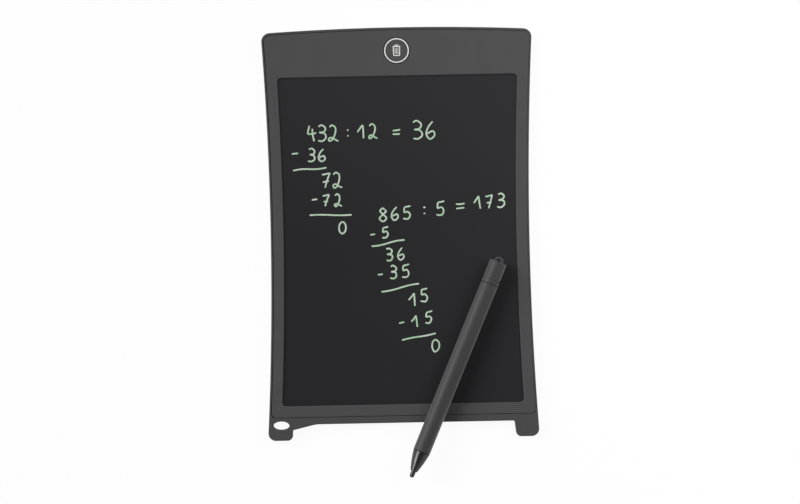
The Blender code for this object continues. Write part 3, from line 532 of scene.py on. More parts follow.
def shell(name, patches, finish, slot, body, *nodes, fringe=None):
    """One piece from its patches: equal points are merged and the faces turned outwards. It rides on a
    body and stands for the given solids. Fringe is a value for each point that the finish may use."""
    start = np.cumsum([0] + [len(points) for points, _ in patches])
    points = np.concatenate([points for points, _ in patches])
    faces = [face for shift, (_, some) in zip(start, patches) for face in (some + shift).tolist()]
    mesh = bpy.data.meshes.new(name)
    mesh.from_pydata(points.tolist(), [], faces)
    if fringe is not None:
        mesh.attributes.new("fringe", "FLOAT", "POINT").data.foreach_set("value", fringe)
    shape = bmesh.new()
    shape.from_mesh(mesh)
    bmesh.ops.remove_doubles(shape, verts=shape.verts, dist=WELD)
    bmesh.ops.dissolve_degenerate(shape, edges=shape.edges, dist=WELD)
    bmesh.ops.recalc_face_normals(shape, faces=shape.faces)
    shape.to_mesh(mesh)
    shape.free()
    mesh.shade_smooth()
    mesh.set_sharp_from_angle(angle=CREASE)
    piece = placed(name, mesh)
    weighted = piece.modifiers.new("flat faces stay flat", "WEIGHTED_NORMAL")
    weighted.keep_sharp = True
    weighted.weight = FLAT_WEIGHT
    mesh.materials.append(finish)
    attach(piece, body)
    if nodes:
        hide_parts(*nodes)


# Finishes


def feed(tree, node, inputs):
    """Links each of a node's inputs to a given socket, or sets it to a value."""
    for name, value in inputs.items():
        if isinstance(value, bpy.types.NodeSocket):
            tree.links.new(value, node.inputs[name])
        else:
            node.inputs[name].default_value = value


def wired(tree, kind, output, inputs=None, **settings):
    """Output of a new shader node with its settings and inputs."""
    node = tree.nodes.new("ShaderNode" + kind)
    for name, value in settings.items():
        setattr(node, name, value)
    feed(tree, node, inputs or {})
    return node.outputs[output]


def maths(tree, operation, first, second):
    """Two values put together by an operation."""
    return wired(tree, "Math", "Value", {0: first, 1: second}, operation=operation)


def ranged(tree, value, low, high, first=0.0, last=1.0, **settings):
    """Value that runs from first to last as another one goes from low to high."""
    return wired(tree, "MapRange", "Result", {
        "Value": value, "From Min": low, "From Max": high, "To Min": first, "To Max": last}, **settings)


def noise(tree, scale, detail=NOISE_DETAIL, stretch=UNSTRETCHED):
    """Noise over the piece's own coordinates. Scale is in waves per metre."""
    place = wired(tree, "TexCoord", "Object")
    place = wired(tree, "Mapping", "Vector", {"Vector": place, "Scale": stretch})
    return wired(tree, "TexNoise", "Fac", {"Vector": place, "Scale": scale, "Detail": detail})


def shades(tree, factor, *stops):
    """Colour that runs through the stops, each a place and a colour, with a factor."""
    output = wired(tree, "ValToRGB", "Color", {"Fac": factor})
    elements = output.node.color_ramp.elements
    for place, _ in stops[1:-1]:
        elements.new(place)
    for element, (place, colour) in zip(elements, stops):
        element.position = place
        element.color = (*colour, 1.0)
    return output


def uneven(tree, factor, roughness):
    """Roughness that wanders a little with the noise."""
    low, high = roughness - GLOSS_SPREAD, roughness + GLOSS_SPREAD
    return ranged(tree, factor, NOISE_LEAST, NOISE_MOST, low, high)


def tint(colour, share):
    """Colour made lighter or darker."""
    return tuple(min(1.0, value * share) for value in colour)


def blank_finish(name):
    """Material with its node tree and its shader."""
    material = bpy.data.materials.new(name)
    material.use_nodes = True
    tree = material.node_tree
    return material, tree, tree.nodes["Principled BSDF"]


def surface(name, colour, roughness, spread, scale, depth=0.0, metallic=0.0, stretch=UNSTRETCHED,
            specular=0.5, sheen=0.0):
    """Finish with cloudy shades of a colour, as far apart as spread says, uneven gloss, and a grain whose
    scale is in waves per metre."""
    material, tree, shader = blank_finish(name)
    dark, light = tint(colour, 1 - spread), tint(colour, 1 + spread)
    clouds = shades(tree, noise(tree, scale / CLOUD_SIZE), (NOISE_LEAST, dark), (NOISE_MOST, light))
    gloss = uneven(tree, noise(tree, scale / GLOSS_SIZE, NOISE_DETAIL, stretch), roughness)
    feed(tree, shader, {
        "Base Color": clouds, "Metallic": metallic, "Roughness": gloss, "Specular IOR Level": specular,
        "Sheen Weight": sheen, "Sheen Roughness": SHEEN_ROUGHNESS})
    if depth:
        grain = noise(tree, scale, NOISE_DETAIL, stretch)
        bump = wired(tree, "Bump", "Normal", {"Distance": depth, "Height": grain})
        feed(tree, shader, {"Normal": bump})
    return material


def ink_surface(name, roughness):
    """Finish of a stroke: nearly white green in the middle, darker and greener towards both edges, in shades
    that drift along it."""
    material, tree, shader = blank_finish(name)
    fringe = wired(tree, "Attribute", "Fac", attribute_name="fringe")
    cool, warm = (shades(tree, fringe, (INK_CORE_END, core), (INK_RIM_PLACE, INK_RIM), (1.0, INK_EDGE))
                  for core in (INK_COOL, INK_WARM))
    drift = ranged(tree, noise(tree, INK_DRIFT, INK_DETAIL), NOISE_LEAST, NOISE_MOST)
    colour = wired(tree, "Mix", "Result", {"Factor": drift, "A": cool, "B": warm}, data_type="RGBA")
    gloss = uneven(tree, noise(tree, INK_GRAIN), roughness)
    feed(tree, shader, {"Base Color": colour, "Roughness": gloss})
    return material


SHELL_GREY = (0.056, 0.056, 0.0564)
STEEL = (0.55, 0.55, 0.56)
BRONZE = (0.70, 0.52, 0.24)
SHELL_FINISH = surface("spark_textured_plastic", SHELL_GREY, 0.6, 0.03, 2600.0, 0.012 * MM, specular=0.3)
# Painted shade: the cover is the shell grey darkened by a tenth, so that its rim and chin read darker than
# the bezel; the battery door shares it
SHADED_COVER_FINISH = surface("cover_plastic_painted_shade", tint(SHELL_GREY, 0.9), 0.6, 0.03, 2600.0, 0.012 * MM, specular=0.3)
KEY_FINISH = surface("key_plastic", tint(SHELL_GREY, 1.03), 0.55, 0.03, 2200.0, 0.008 * MM, specular=0.3)
LOCK_FINISH = surface("lock_plastic", (0.012, 0.012, 0.012), 0.45, 0.1, 2200.0, 0.006 * MM)
PRINT_FINISH = surface("white_print", (0.9, 0.9, 0.89), 0.5, 0.03, 1800.0)
INK_FINISH = ink_surface("bright_stroke", 0.35)
PEN_FINISH = surface(
    "pen_satin", (0.030, 0.030, 0.0306), 0.55, 0.03, 2600.0, 0.005 * MM, specular=0.27, sheen=0.5)
CONE_FINISH = surface("gloss_black", (0.018, 0.018, 0.018), 0.22, 0.08, 700.0)
# Painted shade: a matte black that darkens the joints at the barrel's ends
JOINT_SHADE_FINISH = surface("black_joint_painted_shade", (0.008, 0.008, 0.008), 0.8, 0.1, 1600.0, 0.004 * MM, specular=0.2)
NIB_FINISH = surface("nib_plastic", (0.010, 0.010, 0.010), 0.35, 0.08, 1500.0, 0.004 * MM)
SCREW_FINISH = surface("plated_steel", STEEL, 0.32, 0.08, 2400.0, 0.004 * MM, 1.0, (1.0, 6.0, 1.0))

# Finishes of the solids that stay as they are
NODE_FINISHES = (
    (surface("coated_film", (0.0226, 0.0223, 0.0243), 0.15, 0.04, 60.0, specular=0.3), "writing_film"),
    (surface("black_film", (0.012, 0.012, 0.012), 0.5, 0.1, 500.0), "backing_film"),
    (surface("black_tape", (0.015, 0.015, 0.016), 0.7, 0.12, 1600.0, 0.008 * MM), "film_tape_frame"),
    (surface("stiff_grey_board", (0.35, 0.35, 0.34), 0.8, 0.1, 2600.0, 0.02 * MM), "support_board"),
    (surface("white_foam", (0.75, 0.75, 0.72), 0.9, 0.08, 2600.0, 0.05 * MM),
     "foam_strip_left", "foam_strip_middle", "foam_strip_right"),
    (surface("amber_flex", (0.55, 0.28, 0.05), 0.35, 0.08, 900.0), "film_tail"),
    (surface("solder_mask", (0.03, 0.12, 0.05), 0.4, 0.12, 900.0, 0.006 * MM), "circuit_board"),
    (SCREW_FINISH, "board_screw_left", "board_screw_right", "erase_switch_body"),
    (surface("moulded_epoxy", (0.015, 0.015, 0.016), 0.6, 0.12, 2600.0, 0.01 * MM),
     "pulse_controller", "rectifier_diode", "erase_switch_plunger"),
    (surface("ferrite", (0.30, 0.30, 0.29), 0.65, 0.1, 2600.0, 0.01 * MM), "boost_inductor"),
    (surface("tan_ceramic", (0.45, 0.33, 0.22), 0.4, 0.1, 2000.0, 0.006 * MM),
     "pulse_capacitor", "supply_capacitor"),
    (surface("cell_steel", tint(STEEL, 1.08), 0.28, 0.05, 1800.0, 0.003 * MM, 1.0, (1.0, 9.0, 1.0)),
     "coin_cell"),
    (surface("spring_bronze", BRONZE, 0.34, 0.06, 1800.0, 0.003 * MM, 1.0, (8.0, 1.0, 1.0)),
     "cell_contact_minus", "cell_contact_plus", "lock_wiper"),
)


def inner_pieces():
    """The solids that stay as they are take their own finish."""
    for finish, *nodes in NODE_FINISHES:
        for node in nodes:
            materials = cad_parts[node].data.materials
            materials.clear()
            materials.append(finish)


# Shells


def post(centre, radius, low, high, bore=0.0, bore_low=0.0):
    """Upright post with a level top, and a blind hole down to bore_low if it has a bore."""
    outer = circle(centre, radius, SMALL_CIRCLE_STEPS)
    patches = [upright(outer, low, high)]
    if not bore:
        return [*patches, flat(high, outer)], outer
    inner = circle(centre, bore, SMALL_CIRCLE_STEPS)
    patches += [flat(high, outer, inner), upright(inner, high, bore_low), flat(bore_low, inner)]
    return patches, outer


def rear_cover():
    """Outer wall with rounded edges round the body outline, lanyard eye, bezel seat, tray, and in the back
    the door's recess with the cell's well, the screw bosses and the lock's slot."""
    body = moved(body_outline(), SKIN)
    seat = lowered(shield(RIM, SEAT_LOW), RIM_EXTRA)
    tray = shield(TRAY_INSET, BEZEL_FOOT + LEDGE)
    eye_y = BASE_Y - EYE_DROP
    eye_x = EYE_FROM_SIDE - side_x(eye_y)
    eye = circle((eye_x, eye_y), np.array((EYE_LENGTH, EYE_HEIGHT)) / 2)
    recess = door_outline(DOOR_GAP)
    pad = door_outline(PAD_MARGIN)
    pad[:, 1] = np.minimum(pad[:, 1], top_y(pad[:, 0], TRAY_INSET) - FIT)
    well = circle(CELL_CENTRE, WELL_RADIUS)
    half = np.array((LOCK_LENGTH, LOCK_WIDTH)) / 2 + LOCK_GAP
    slot = rectangle(LOCK_CENTRE - half, LOCK_CENTRE + half + (LOCK_TRAVEL, 0.0), LOCK_ROUND)
    patches = [
        band(body, soft_edge(0.0, RIM_TOP, EDGE_ROUND, RIM_ROUND)),
        flat(RIM_TOP, moved(body, RIM_ROUND), moved(seat, -LINE_ROUND), moved(eye, -EYE_ROUND)),
        flat(0.0, moved(body, EDGE_ROUND), moved(eye, -EYE_ROUND), moved(recess, -LINE_ROUND),
             moved(slot, -LINE_ROUND)),
        band(eye, soft_edge(0.0, RIM_TOP, EYE_ROUND, EYE_ROUND) * HOLE),
        band(seat, soft_edge(LEDGE_TOP, RIM_TOP, 0.0, LINE_ROUND) * HOLE),
        flat(LEDGE_TOP, seat, tray),
        upright(tray, LEDGE_TOP, FLOOR_TOP),
        band(recess, soft_edge(0.0, RECESS_TOP, LINE_ROUND, 0.0) * HOLE),
        band(slot, soft_edge(0.0, FLOOR_TOP, LINE_ROUND, 0.0) * HOLE),
        upright(pad, FLOOR_TOP, PAD_TOP),
        upright(well, RECESS_TOP, PAD_TOP),
    ]
    bosses = []
    pilots = []
    for node in ("door_screw_left", "door_screw_right"):
        tip = span(node)[1][2] + SCREW_CLEARANCE
        centre = middle(node)
        solid, foot = post(centre, BOSS_RADIUS, PAD_TOP, tip + BOSS_CAP)
        pilot = circle(centre, DOOR_SCREW_RADIUS + SCREW_CLEARANCE, SMALL_CIRCLE_STEPS)
        patches += [*solid, upright(pilot, RECESS_TOP, tip), flat(tip, pilot)]
        bosses.append(foot)
        pilots.append(pilot)
    patches.append(flat(RECESS_TOP, recess, well, *pilots))
    patches.append(flat(PAD_TOP, pad, well, *bosses))
    feet = []
    top = FLOOR_TOP + STANDOFF
    for node in ("board_screw_left", "board_screw_right"):
        hole = BOARD_SCREW_RADIUS + SCREW_CLEARANCE
        bottom = top - BOARD_SCREW_BITE - SCREW_CLEARANCE
        solid, foot = post(middle(node), hole + STANDOFF_WALL, FLOOR_TOP, top, hole, bottom)
        patches += solid
        feet.append(foot)
    board_low, board_high = span("circuit_board")
    for y in (board_low[1] + 2 * STANDOFF_WALL, board_high[1] - 2 * STANDOFF_WALL):
        solid, foot = post((board_low[0] + 2 * STANDOFF_WALL, y), STANDOFF_WALL, FLOOR_TOP, top)
        patches += solid
        feet.append(foot)
    patches.append(flat(FLOOR_TOP, tray, pad, slot, *feet))
    shell("tablet_rear_cover", patches, SHADED_COVER_FINISH, "shell_plastic", "tablet", "rear_cover")


def front_bezel():
    """Shield-shaped plate with softened edges, the window and the key hole, hollow under its lip."""
    outline = lowered(shield(BEZEL_INSET, BEZEL_FOOT), RIM_EXTRA) + (BEZEL_SHIFT, 0.0)
    pocket = shield(BEZEL_INSET + BEZEL_FRAME, BEZEL_FOOT + BEZEL_FRAME)
    window = window_outline()
    hole = circle(KEY_CENTRE, KEY_RADIUS + KEY_GAP)
    patches = [
        band(outline, soft_edge(BEZEL_LOW, FACE, 0.0, BEZEL_ROUND)),
        flat(FACE, moved(outline, BEZEL_ROUND), moved(window, -WINDOW_ROUND), moved(hole, -LINE_ROUND)),
        band(window, soft_edge(CEILING, FACE, 0.0, WINDOW_ROUND) * HOLE),
        band(hole, soft_edge(CEILING, FACE, 0.0, LINE_ROUND) * HOLE),
        flat(CEILING, pocket, window, hole),
        upright(pocket, CEILING, BEZEL_LOW),
        flat(BEZEL_LOW, outline, pocket),
    ]
    shell("tablet_front_bezel", patches, SHELL_FINISH, "shell_plastic", "tablet", "front_bezel")


# Ribbons: strokes of ink and print


def smooth(points):
    """Cubic curve through the points whose slope at each is half the step between its neighbours."""
    place = np.asarray(points, float)
    place = joined(2 * place[:1] - place[1:2], place, 2 * place[-1:] - place[-2:-1])
    share = np.linspace(0, 1, CURVE_STEPS, endpoint=False)[None, :, None]
    before, start, end, after = (place[i:len(place) - 3 + i, None, :] for i in range(4))
    first = (end - before) / 2
    last = (after - start) / 2
    curve = ((2 * share ** 3 - 3 * share ** 2 + 1) * start + (share ** 3 - 2 * share ** 2 + share) * first
             + (3 * share ** 2 - 2 * share ** 3) * end + (share ** 3 - share ** 2) * last)
    return joined(curve.reshape(-1, 2), place[-2:-1])


def even(path):
    """The path with points at even distances along it."""
    length = joined([0], np.cumsum(np.linalg.norm(np.diff(path, axis=0), axis=1)))
    count = max(STROKE_LEAST, int(length[-1] / STROKE_STEP))
    at = np.linspace(0, length[-1], count)
    return columns(np.interp(at, length, path[:, 0]), np.interp(at, length, path[:, 1])), at


def ribbon(path, width, low, height):
    """Stroke along an open path: a low dome, height times one less the square of the share across. Its
    half width follows a half circle towards each end, so the ends are round."""
    path, along = even(path)
    slope = np.gradient(path, axis=0)
    slope /= np.linalg.norm(slope, axis=1, keepdims=True)
    normal = columns(-slope[:, 1], slope[:, 0])
    half = width / 2
    nearest = np.minimum(along, along[-1] - along)
    reach = half * np.sqrt(1 - np.clip(1 - nearest / half, 0, 1) ** 2)
    across = np.linspace(-1, 1, STROKE_SECTION)
    plan = path[:, None, :] + normal[:, None, :] * (reach[:, None] * across)[..., None]
    rise = low + height * (1 - across ** 2) * (reach[:, None] / half)
    rows = np.concatenate([plan, rise[..., None]], -1)
    return wall(*rows)


# Strokes of each digit: points in units of its shape
DIGITS = {
    "0": [[(34, 100), (10, 74), (5, 30), (28, 0), (56, 26), (58, 72), (33, 99)]],
    "1": [[(0, 46), (20, 70), (42, 100)], [(42, 100), (46, 50), (50, 0)]],
    "2": [[(2, 86), (20, 100), (40, 84), (40, 50), (24, 10), (6, 0), (0, 14),
           (18, 22), (40, 8), (60, 0)]],
    "3": [[(2, 93), (24, 100), (46, 82), (38, 60), (8, 53)],
          [(8, 53), (42, 48), (50, 22), (30, 1), (0, 6)]],
    "4": [[(16, 100), (10, 72), (4, 46)], [(4, 46), (28, 46), (60, 52)],
          [(36, 80), (38, 46), (48, 0)]],
    "5": [[(10, 92), (8, 74), (6, 50)], [(10, 92), (30, 95), (56, 100)],
          [(6, 50), (36, 57), (52, 32), (36, 3), (0, 6)]],
    "6": [[(40, 100), (14, 66), (3, 28), (24, 0), (52, 18), (42, 44), (8, 30)]],
    "7": [[(0, 90), (26, 92), (56, 100)], [(56, 100), (38, 50), (24, 0)],
          [(10, 40), (28, 42), (50, 46)]],
    "8": [[(46, 88), (26, 100), (8, 80), (30, 54), (54, 24), (30, 0), (4, 22),
           (30, 54), (52, 76), (44, 90)]],
    ":": [[(14, 66), (20, 66), (26, 67)], [(14, 30), (20, 30), (26, 31)]],
    "=": [[(0, 64), (28, 65), (56, 69)], [(0, 36), (28, 37), (55, 39)]],
    "-": [[(0, 48), (22, 50), (46, 53)]],
}

# The sums: text, left end, baseline and height in millimetres, then the pitch and slope of several signs
WRITING = (
    ("432", -49.1, 50.0, 8.6, 5.9, 0.0),
    (":", -28.9, 50.0, 8.9),
    ("12", -22.1, 51.1, 7.3, 6.4, 0.0),
    ("=", -3.2, 50.3, 7.8),
    ("36", 7.9, 50.2, 9.7, 6.9, 0.0),
    ("-", -57.5, 39.7, 7.8),
    ("36", -48.6, 39.2, 6.8, 5.5, 0.0),
    ("72", -41.8, 24.9, 8.0, 6.4, 0.0),
    ("-", -47.3, 15.4, 6.7),
    ("72", -41.6, 14.9, 6.5, 6.8, 0.0),
    ("0", -33.1, 0.0, 6.9),
    ("865", -11.0, 6.3, 7.1, 6.4, 0.08),
    (":", 11.4, 7.5, 8.8),
    ("5", 19.7, 8.9, 7.9),
    ("=", 30.2, 9.5, 8.6),
    ("173", 39.8, 12.0, 7.3, 6.3, 0.05),
    ("-", -16.0, -3.8, 6.4),
    ("5", -9.7, -2.6, 6.2),
    ("36", -7.6, -14.9, 6.8, 6.0, 0.09),
    ("-", -12.6, -25.4, 6.4),
    ("35", -5.9, -24.5, 6.9, 6.5, 0.08),
    ("15", 3.7, -39.5, 7.2, 6.7, 0.34),
    ("-", -1.6, -51.4, 6.4),
    ("15", 5.3, -50.6, 6.3, 7.1, 0.25),
    ("0", 15.7, -64.2, 6.7),
)

# Rules drawn under the sums: left end, right end, and how far the line bends, in millimetres
RULES = (
    ((-56.9, 34.5), (-38.7, 35.8), 0.35),
    ((-48.4, 10.4), (-25.7, 10.2), 0.2),
    ((-15.5, -6.9), (2.5, -3.8), -0.35),
    ((-10.7, -31.5), (9.7, -27.4), -0.3),
    ((-0.1, -57.6), (18.2, -54.2), 0.2),
)


def handwriting():
    """Sums written on the film. A digit's strokes are smooth curves through the points of its shape, leaned
    and shifted a little by a seeded draw so that no two are alike."""
    draw = np.random.default_rng(HAND_SEED)
    low = FILM_TOP + INK_LIFT
    patches = []
    for text, left, base, height, *run in WRITING:
        pitch, slope = run or (0.0, 0.0)
        for place, sign in enumerate(text):
            lean = draw.normal(DIGIT_LEAN, LEAN_SPREAD)
            size = height * draw.normal(1, SIZE_SPREAD)
            for stroke in DIGITS[sign]:
                shape = np.array(stroke) / DIGIT_UNITS
                points = (shape + draw.normal(0, POINT_SPREAD, shape.shape)) * size
                points[:, 0] += lean * points[:, 1]
                points += (left + place * pitch, base + place * pitch * slope)
                width = INK_WIDTH * draw.normal(1, SIZE_SPREAD)
                patches.append(ribbon(smooth(points) * MM, width, low, INK_HEIGHT))
    for start, end, bend in RULES:
        share = np.linspace(0, 1, LINE_POINTS)[:, None]
        points = np.array(start) + (np.array(end) - start) * share
        points[:, 1] += bend * np.sin(math.tau * share[:, 0])
        patches.append(ribbon(smooth(points) * MM, INK_WIDTH, low, INK_HEIGHT))
    rows = sum(len(points) for points, _ in patches) // STROKE_SECTION
    fringe = np.tile(np.abs(np.linspace(-1, 1, STROKE_SECTION)), rows)
    shell("handwritten_sums", patches, INK_FINISH, "writing_film", "tablet", fringe=fringe)


# Erase key


def erase_key():
    """Turned key: top sunk by its dish times one less the fourth power of the share of its radius, rounded
    edge, flange under the bezel and a stem on the switch. A ring and a bin sign are printed on it."""
    top = KEY_HIGH[2]
    dish_reach = KEY_RADIUS - KEY_ROUND

    def dished(radius):
        """Height of the top at a radius."""
        return top - KEY_DISH * (1 - (radius / dish_reach) ** 4)

    flange = (KEY_HIGH[0] - KEY_LOW[0]) / 2
    flange_top = KEY_LOW[2] + KEY_STEM + KEY_FLANGE
    radius = np.linspace(0, dish_reach, DISH_STEPS)
    dish = columns(radius, dished(radius))
    edge = upper_round(KEY_RADIUS, top, KEY_ROUND)
    skirt = np.array([
        (KEY_RADIUS, flange_top), (flange, flange_top), (flange, flange_top - KEY_FLANGE),
        (KEY_STEM_RADIUS, flange_top - KEY_FLANGE), (KEY_STEM_RADIUS, KEY_LOW[2]), (0.0, KEY_LOW[2])])
    profile = joined(dish, edge, skirt)
    key = shifted(turned(profile), *KEY_CENTRE)
    shell("erase_key", [key], KEY_FINISH, "key_plastic", "erase_key", "erase_button")

    across = np.linspace(-1, 1, RING_SECTION)
    radius = RING_RADIUS + RING_WIDTH / 2 * across
    dome = columns(radius, dished(radius) + PRINT_HEIGHT * (1 - across ** 2) ** 0.5)
    under = columns(radius[::-1][1:-1], dished(radius)[::-1][1:-1])
    ring_print = shifted(turned(joined(dome, under, dome[:1])), *KEY_CENTRE)
    shell("erase_key_ring", [ring_print], PRINT_FINISH, "key_plastic", "erase_key")

    low = top - KEY_DISH
    lid = columns(np.linspace(-LID_HALF, LID_HALF, LINE_POINTS), LID_HEIGHT)
    feet = [(*BIN_FOOT * MIRROR, BIN_CORNER), (*BIN_FOOT, BIN_CORNER)]
    bin_side = joined([BIN_TOP * MIRROR], chain(BIN_TOP * MIRROR, feet, BIN_TOP), [BIN_TOP])
    strokes = [(path, SIGN_LINE) for path in (lid, smooth(HANDLE), bin_side)]
    bar = np.linspace(BAR_TOP, BAR_FOOT, LINE_POINTS)
    strokes += [(columns(x, bar), SIGN_BAR) for x in (-BAR_PITCH, 0.0, BAR_PITCH)]
    patches = [ribbon(path * MM + KEY_CENTRE, width, low, PRINT_HEIGHT) for path, width in strokes]
    shell("erase_key_bin_sign", patches, PRINT_FINISH, "key_plastic", "erase_key")


# Back


def battery_door():
    """Plate in the recess with softened edges and a sunk hole for the screw at each end."""
    outline = door_outline(0.0)
    low, high = DOOR_LOW[2], DOOR_HIGH[2]
    patches = [band(outline, soft_edge(low, high, LINE_ROUND, 0.0))]
    sinks = []
    holes = []
    for node in ("door_screw_left", "door_screw_right"):
        reach = (span(node)[1] - span(node)[0])[0] / 2
        seat = span(node)[0][2] + SCREW_HEAD_HEIGHT + FIT
        sink = circle(middle(node), reach + SCREW_CLEARANCE, SMALL_CIRCLE_STEPS)
        hole = circle(middle(node), DOOR_SCREW_RADIUS + SCREW_CLEARANCE, SMALL_CIRCLE_STEPS)
        patches += [band(sink, soft_edge(low, seat, LINE_ROUND, 0.0) * HOLE), flat(seat, sink, hole),
                    upright(hole, seat, high)]
        sinks.append(moved(sink, -LINE_ROUND))
        holes.append(hole)
    patches.append(flat(low, moved(outline, LINE_ROUND), *sinks))
    patches.append(flat(high, outline, *holes))
    shell("tablet_battery_door", patches, SHADED_COVER_FINISH, "shell_plastic", "battery_hatch", "battery_door")


def door_screw(name, node):
    """Turned screw whose head has a rounded edge. Its face is a polar grid that sinks by the cross's depth
    where a point lies within half a slot's width of either axis."""
    low, high = span(node)
    x, y = middle(node)
    reach = (high - low)[0] / 2
    head_top = low[2] + SCREW_HEAD_HEIGHT
    shaft = DOOR_SCREW_RADIUS
    angle = full_turn(CIRCLE_STEPS)
    radius = np.linspace(0, reach - SCREW_ROUND, CROSS_STEPS)[:, None]
    across = radius * np.cos(angle)
    along = radius * np.sin(angle)
    inner = np.minimum(np.abs(across), np.abs(along))
    slot = np.clip((CROSS_WIDTH / 2 - inner) / CROSS_SLOPE, 0, 1)
    ends = np.clip((reach - CROSS_WIDTH - radius) / CROSS_SLOPE, 0, 1)
    sunk = low[2] + CROSS_DEPTH * slot * ends
    face = wall(*np.stack([across, along, sunk], -1))
    edge = lower_round(reach, low[2], SCREW_ROUND)[::-1]
    side = joined(edge, [(reach, head_top), (shaft, head_top), (shaft, high[2]), (0.0, high[2])])
    patches = [shifted(face, x, y), shifted(turned(side), x, y)]
    shell(name, patches, SCREW_FINISH, "steel", "battery_hatch", node)


def lock_slider():
    """Knob whose outline from the side, a rounded bar with half-round grooves, is carried across its width,
    on a flange behind the wall."""
    low, high = LOCK_LOW[2], LOCK_HIGH[2]
    x, y = LOCK_CENTRE
    half = LOCK_LENGTH / 2
    top = high - LOCK_FLANGE / 2
    share = np.linspace(LOCK_ROUND - half, half - LOCK_ROUND, LOCK_STEPS)
    pitch = LOCK_LENGTH / (LOCK_GROOVES + 1)
    wave = np.cos(math.tau * share / pitch)
    inside = np.abs(share) < pitch * LOCK_GROOVES / 2
    dip = np.where(inside, LOCK_GROOVE_DEPTH * np.clip(wave, 0, 1), 0.0)
    edge = lower_round(half, low, LOCK_ROUND)
    knob = joined([(half, top), (-half, top)], edge * MIRROR, columns(share, low + dip), edge[::-1])
    ends = LOCK_WIDTH / 2
    rows = [np.column_stack([x + knob[:, 0], np.full(len(knob), y + side * ends), knob[:, 1]])
            for side in np.linspace(-1, 1, LOCK_ROWS)]
    triangles = np.array(tessellate_polygon([ring(knob, 0.0).tolist()]))
    plate = rectangle(LOCK_LOW, LOCK_HIGH, LOCK_ROUND)
    flange_low = high - LOCK_FLANGE
    patches = [wall(*rows), (rows[0], triangles), (rows[-1], triangles),
               upright(plate, flange_low, high), flat(flange_low, plate), flat(high, plate)]
    shell("tablet_lock_slider", patches, LOCK_FINISH, "lock_plastic", "erase_lock", "lock_slider")


# Pen


def pen_frame():
    """Nib's tip and the pen's own axes. The pen leans on the window's lower edge and on the film, so it dips
    towards its cap by the depth of the window."""
    tip_y = FOOT_Y - PEN_OVERHANG
    edge = (WINDOW_LOW - tip_y) / math.cos(PEN_ANGLE)
    dip = math.asin((FACE - FILM_TOP) / (PEN_END - edge))
    along = np.array((math.sin(PEN_ANGLE) * math.cos(dip), math.cos(PEN_ANGLE) * math.cos(dip),
                      -math.sin(dip)))
    across = np.cross(along, (0.0, 0.0, 1.0))
    across /= np.linalg.norm(across)
    up = np.cross(across, along)
    tip_z = FACE + PEN_REST_GAP + PEN_RADIUS / math.cos(dip) + edge * math.tan(dip)
    return np.array((PEN_TIP_X, tip_y, tip_z)), np.stack([across, -up, along])


PEN_TIP, PEN_AXES = pen_frame()


def on_pen(patch):
    """Patch laid along the pen: its own x, y and z run along the pen's axes from the nib's tip."""
    points, faces = patch
    return PEN_TIP + points @ PEN_AXES, faces


def pen_nib():
    """Half circle for the tip, straight rod, and the head behind the cone."""
    rear = BARREL_LOW + SPIGOT_LENGTH + PEN_JOINT
    head = NIB_RADIUS + SPIGOT_WALL / 2
    reach = NIB_RADIUS - SKIN
    tip = arc((0.0, NIB_RADIUS), reach, -math.pi / 2, 0)
    rod = np.array([(reach, rear), (head, rear), (head, rear + NIB_HEAD), (0.0, rear + NIB_HEAD)])
    nib = on_pen(turned(joined(tip, rod), SMALL_CIRCLE_STEPS))
    shell("pen_nib_rod", [nib], NIB_FINISH, "pen_nib", "pen", "pen_nib")


def pen_tip_cone():
    """Cone from the barrel's radius to the end's radius that swells by a sine, with a rounded end, the bore
    for the nib and the spigot."""
    top = BARREL_LOW - COLLAR_WIDTH
    reach = PEN_RADIUS - SKIN
    spigot_top = BARREL_LOW + SPIGOT_LENGTH
    bore = NIB_RADIUS + PEN_FIT
    share = np.linspace(0, 1, CONE_STEPS)
    radius = reach + (CONE_END_RADIUS - reach) * share + CONE_SWELL * np.sin(math.pi * share)
    cone = columns(radius, top + (CONE_LOW - top) * share)
    start, place, end = cone[-CONE_CUT], (CONE_END_RADIUS, CONE_LOW), (bore, CONE_LOW)
    profile = joined(
        [(SPIGOT_RADIUS, spigot_top), (SPIGOT_RADIUS, top)], cone[:1 - CONE_CUT],
        corner(start, place, end, CONE_END_ROUND), [end, (bore, spigot_top), (SPIGOT_RADIUS, spigot_top)])
    shell("pen_cone", [on_pen(turned(profile))], CONE_FINISH, "pen_tip_gloss", "pen", "pen_tip_cone")


def pen_barrel():
    """Tube with slightly rounded ends."""
    low, high = BARREL_LOW, CAP_LOW - COLLAR_WIDTH
    reach = PEN_RADIUS - SKIN
    straight = np.linspace(high - PEN_ROUND, low + PEN_ROUND, BARREL_STEPS)[1:-1]
    profile = joined(
        [(BORE_RADIUS, high)], upper_round(reach, high, COLLAR_ROUND), columns(reach, straight),
        lower_round(reach, low, COLLAR_ROUND), [(BORE_RADIUS, low), (BORE_RADIUS, high)])
    shell("pen_body", [on_pen(turned(profile))], PEN_FINISH, "pen_plastic", "pen", "pen_barrel")


def pen_joint_shade_collars():
    """Square black ring in the joint at either end of the barrel, a little below the pen's surface: painted
    shade in the joint's gap.
    """
    inner, outer = SPIGOT_RADIUS, PEN_RADIUS - COLLAR_DEPTH
    patches = []
    for high in (BARREL_LOW, CAP_LOW):
        low = high - COLLAR_WIDTH
        profile = [(inner, low), (outer, low), (outer, high), (inner, high), (inner, low)]
        patches.append(on_pen(turned(profile)))
    shell("pen_joint_painted_shade", patches, JOINT_SHADE_FINISH, "pen_nib", "pen")


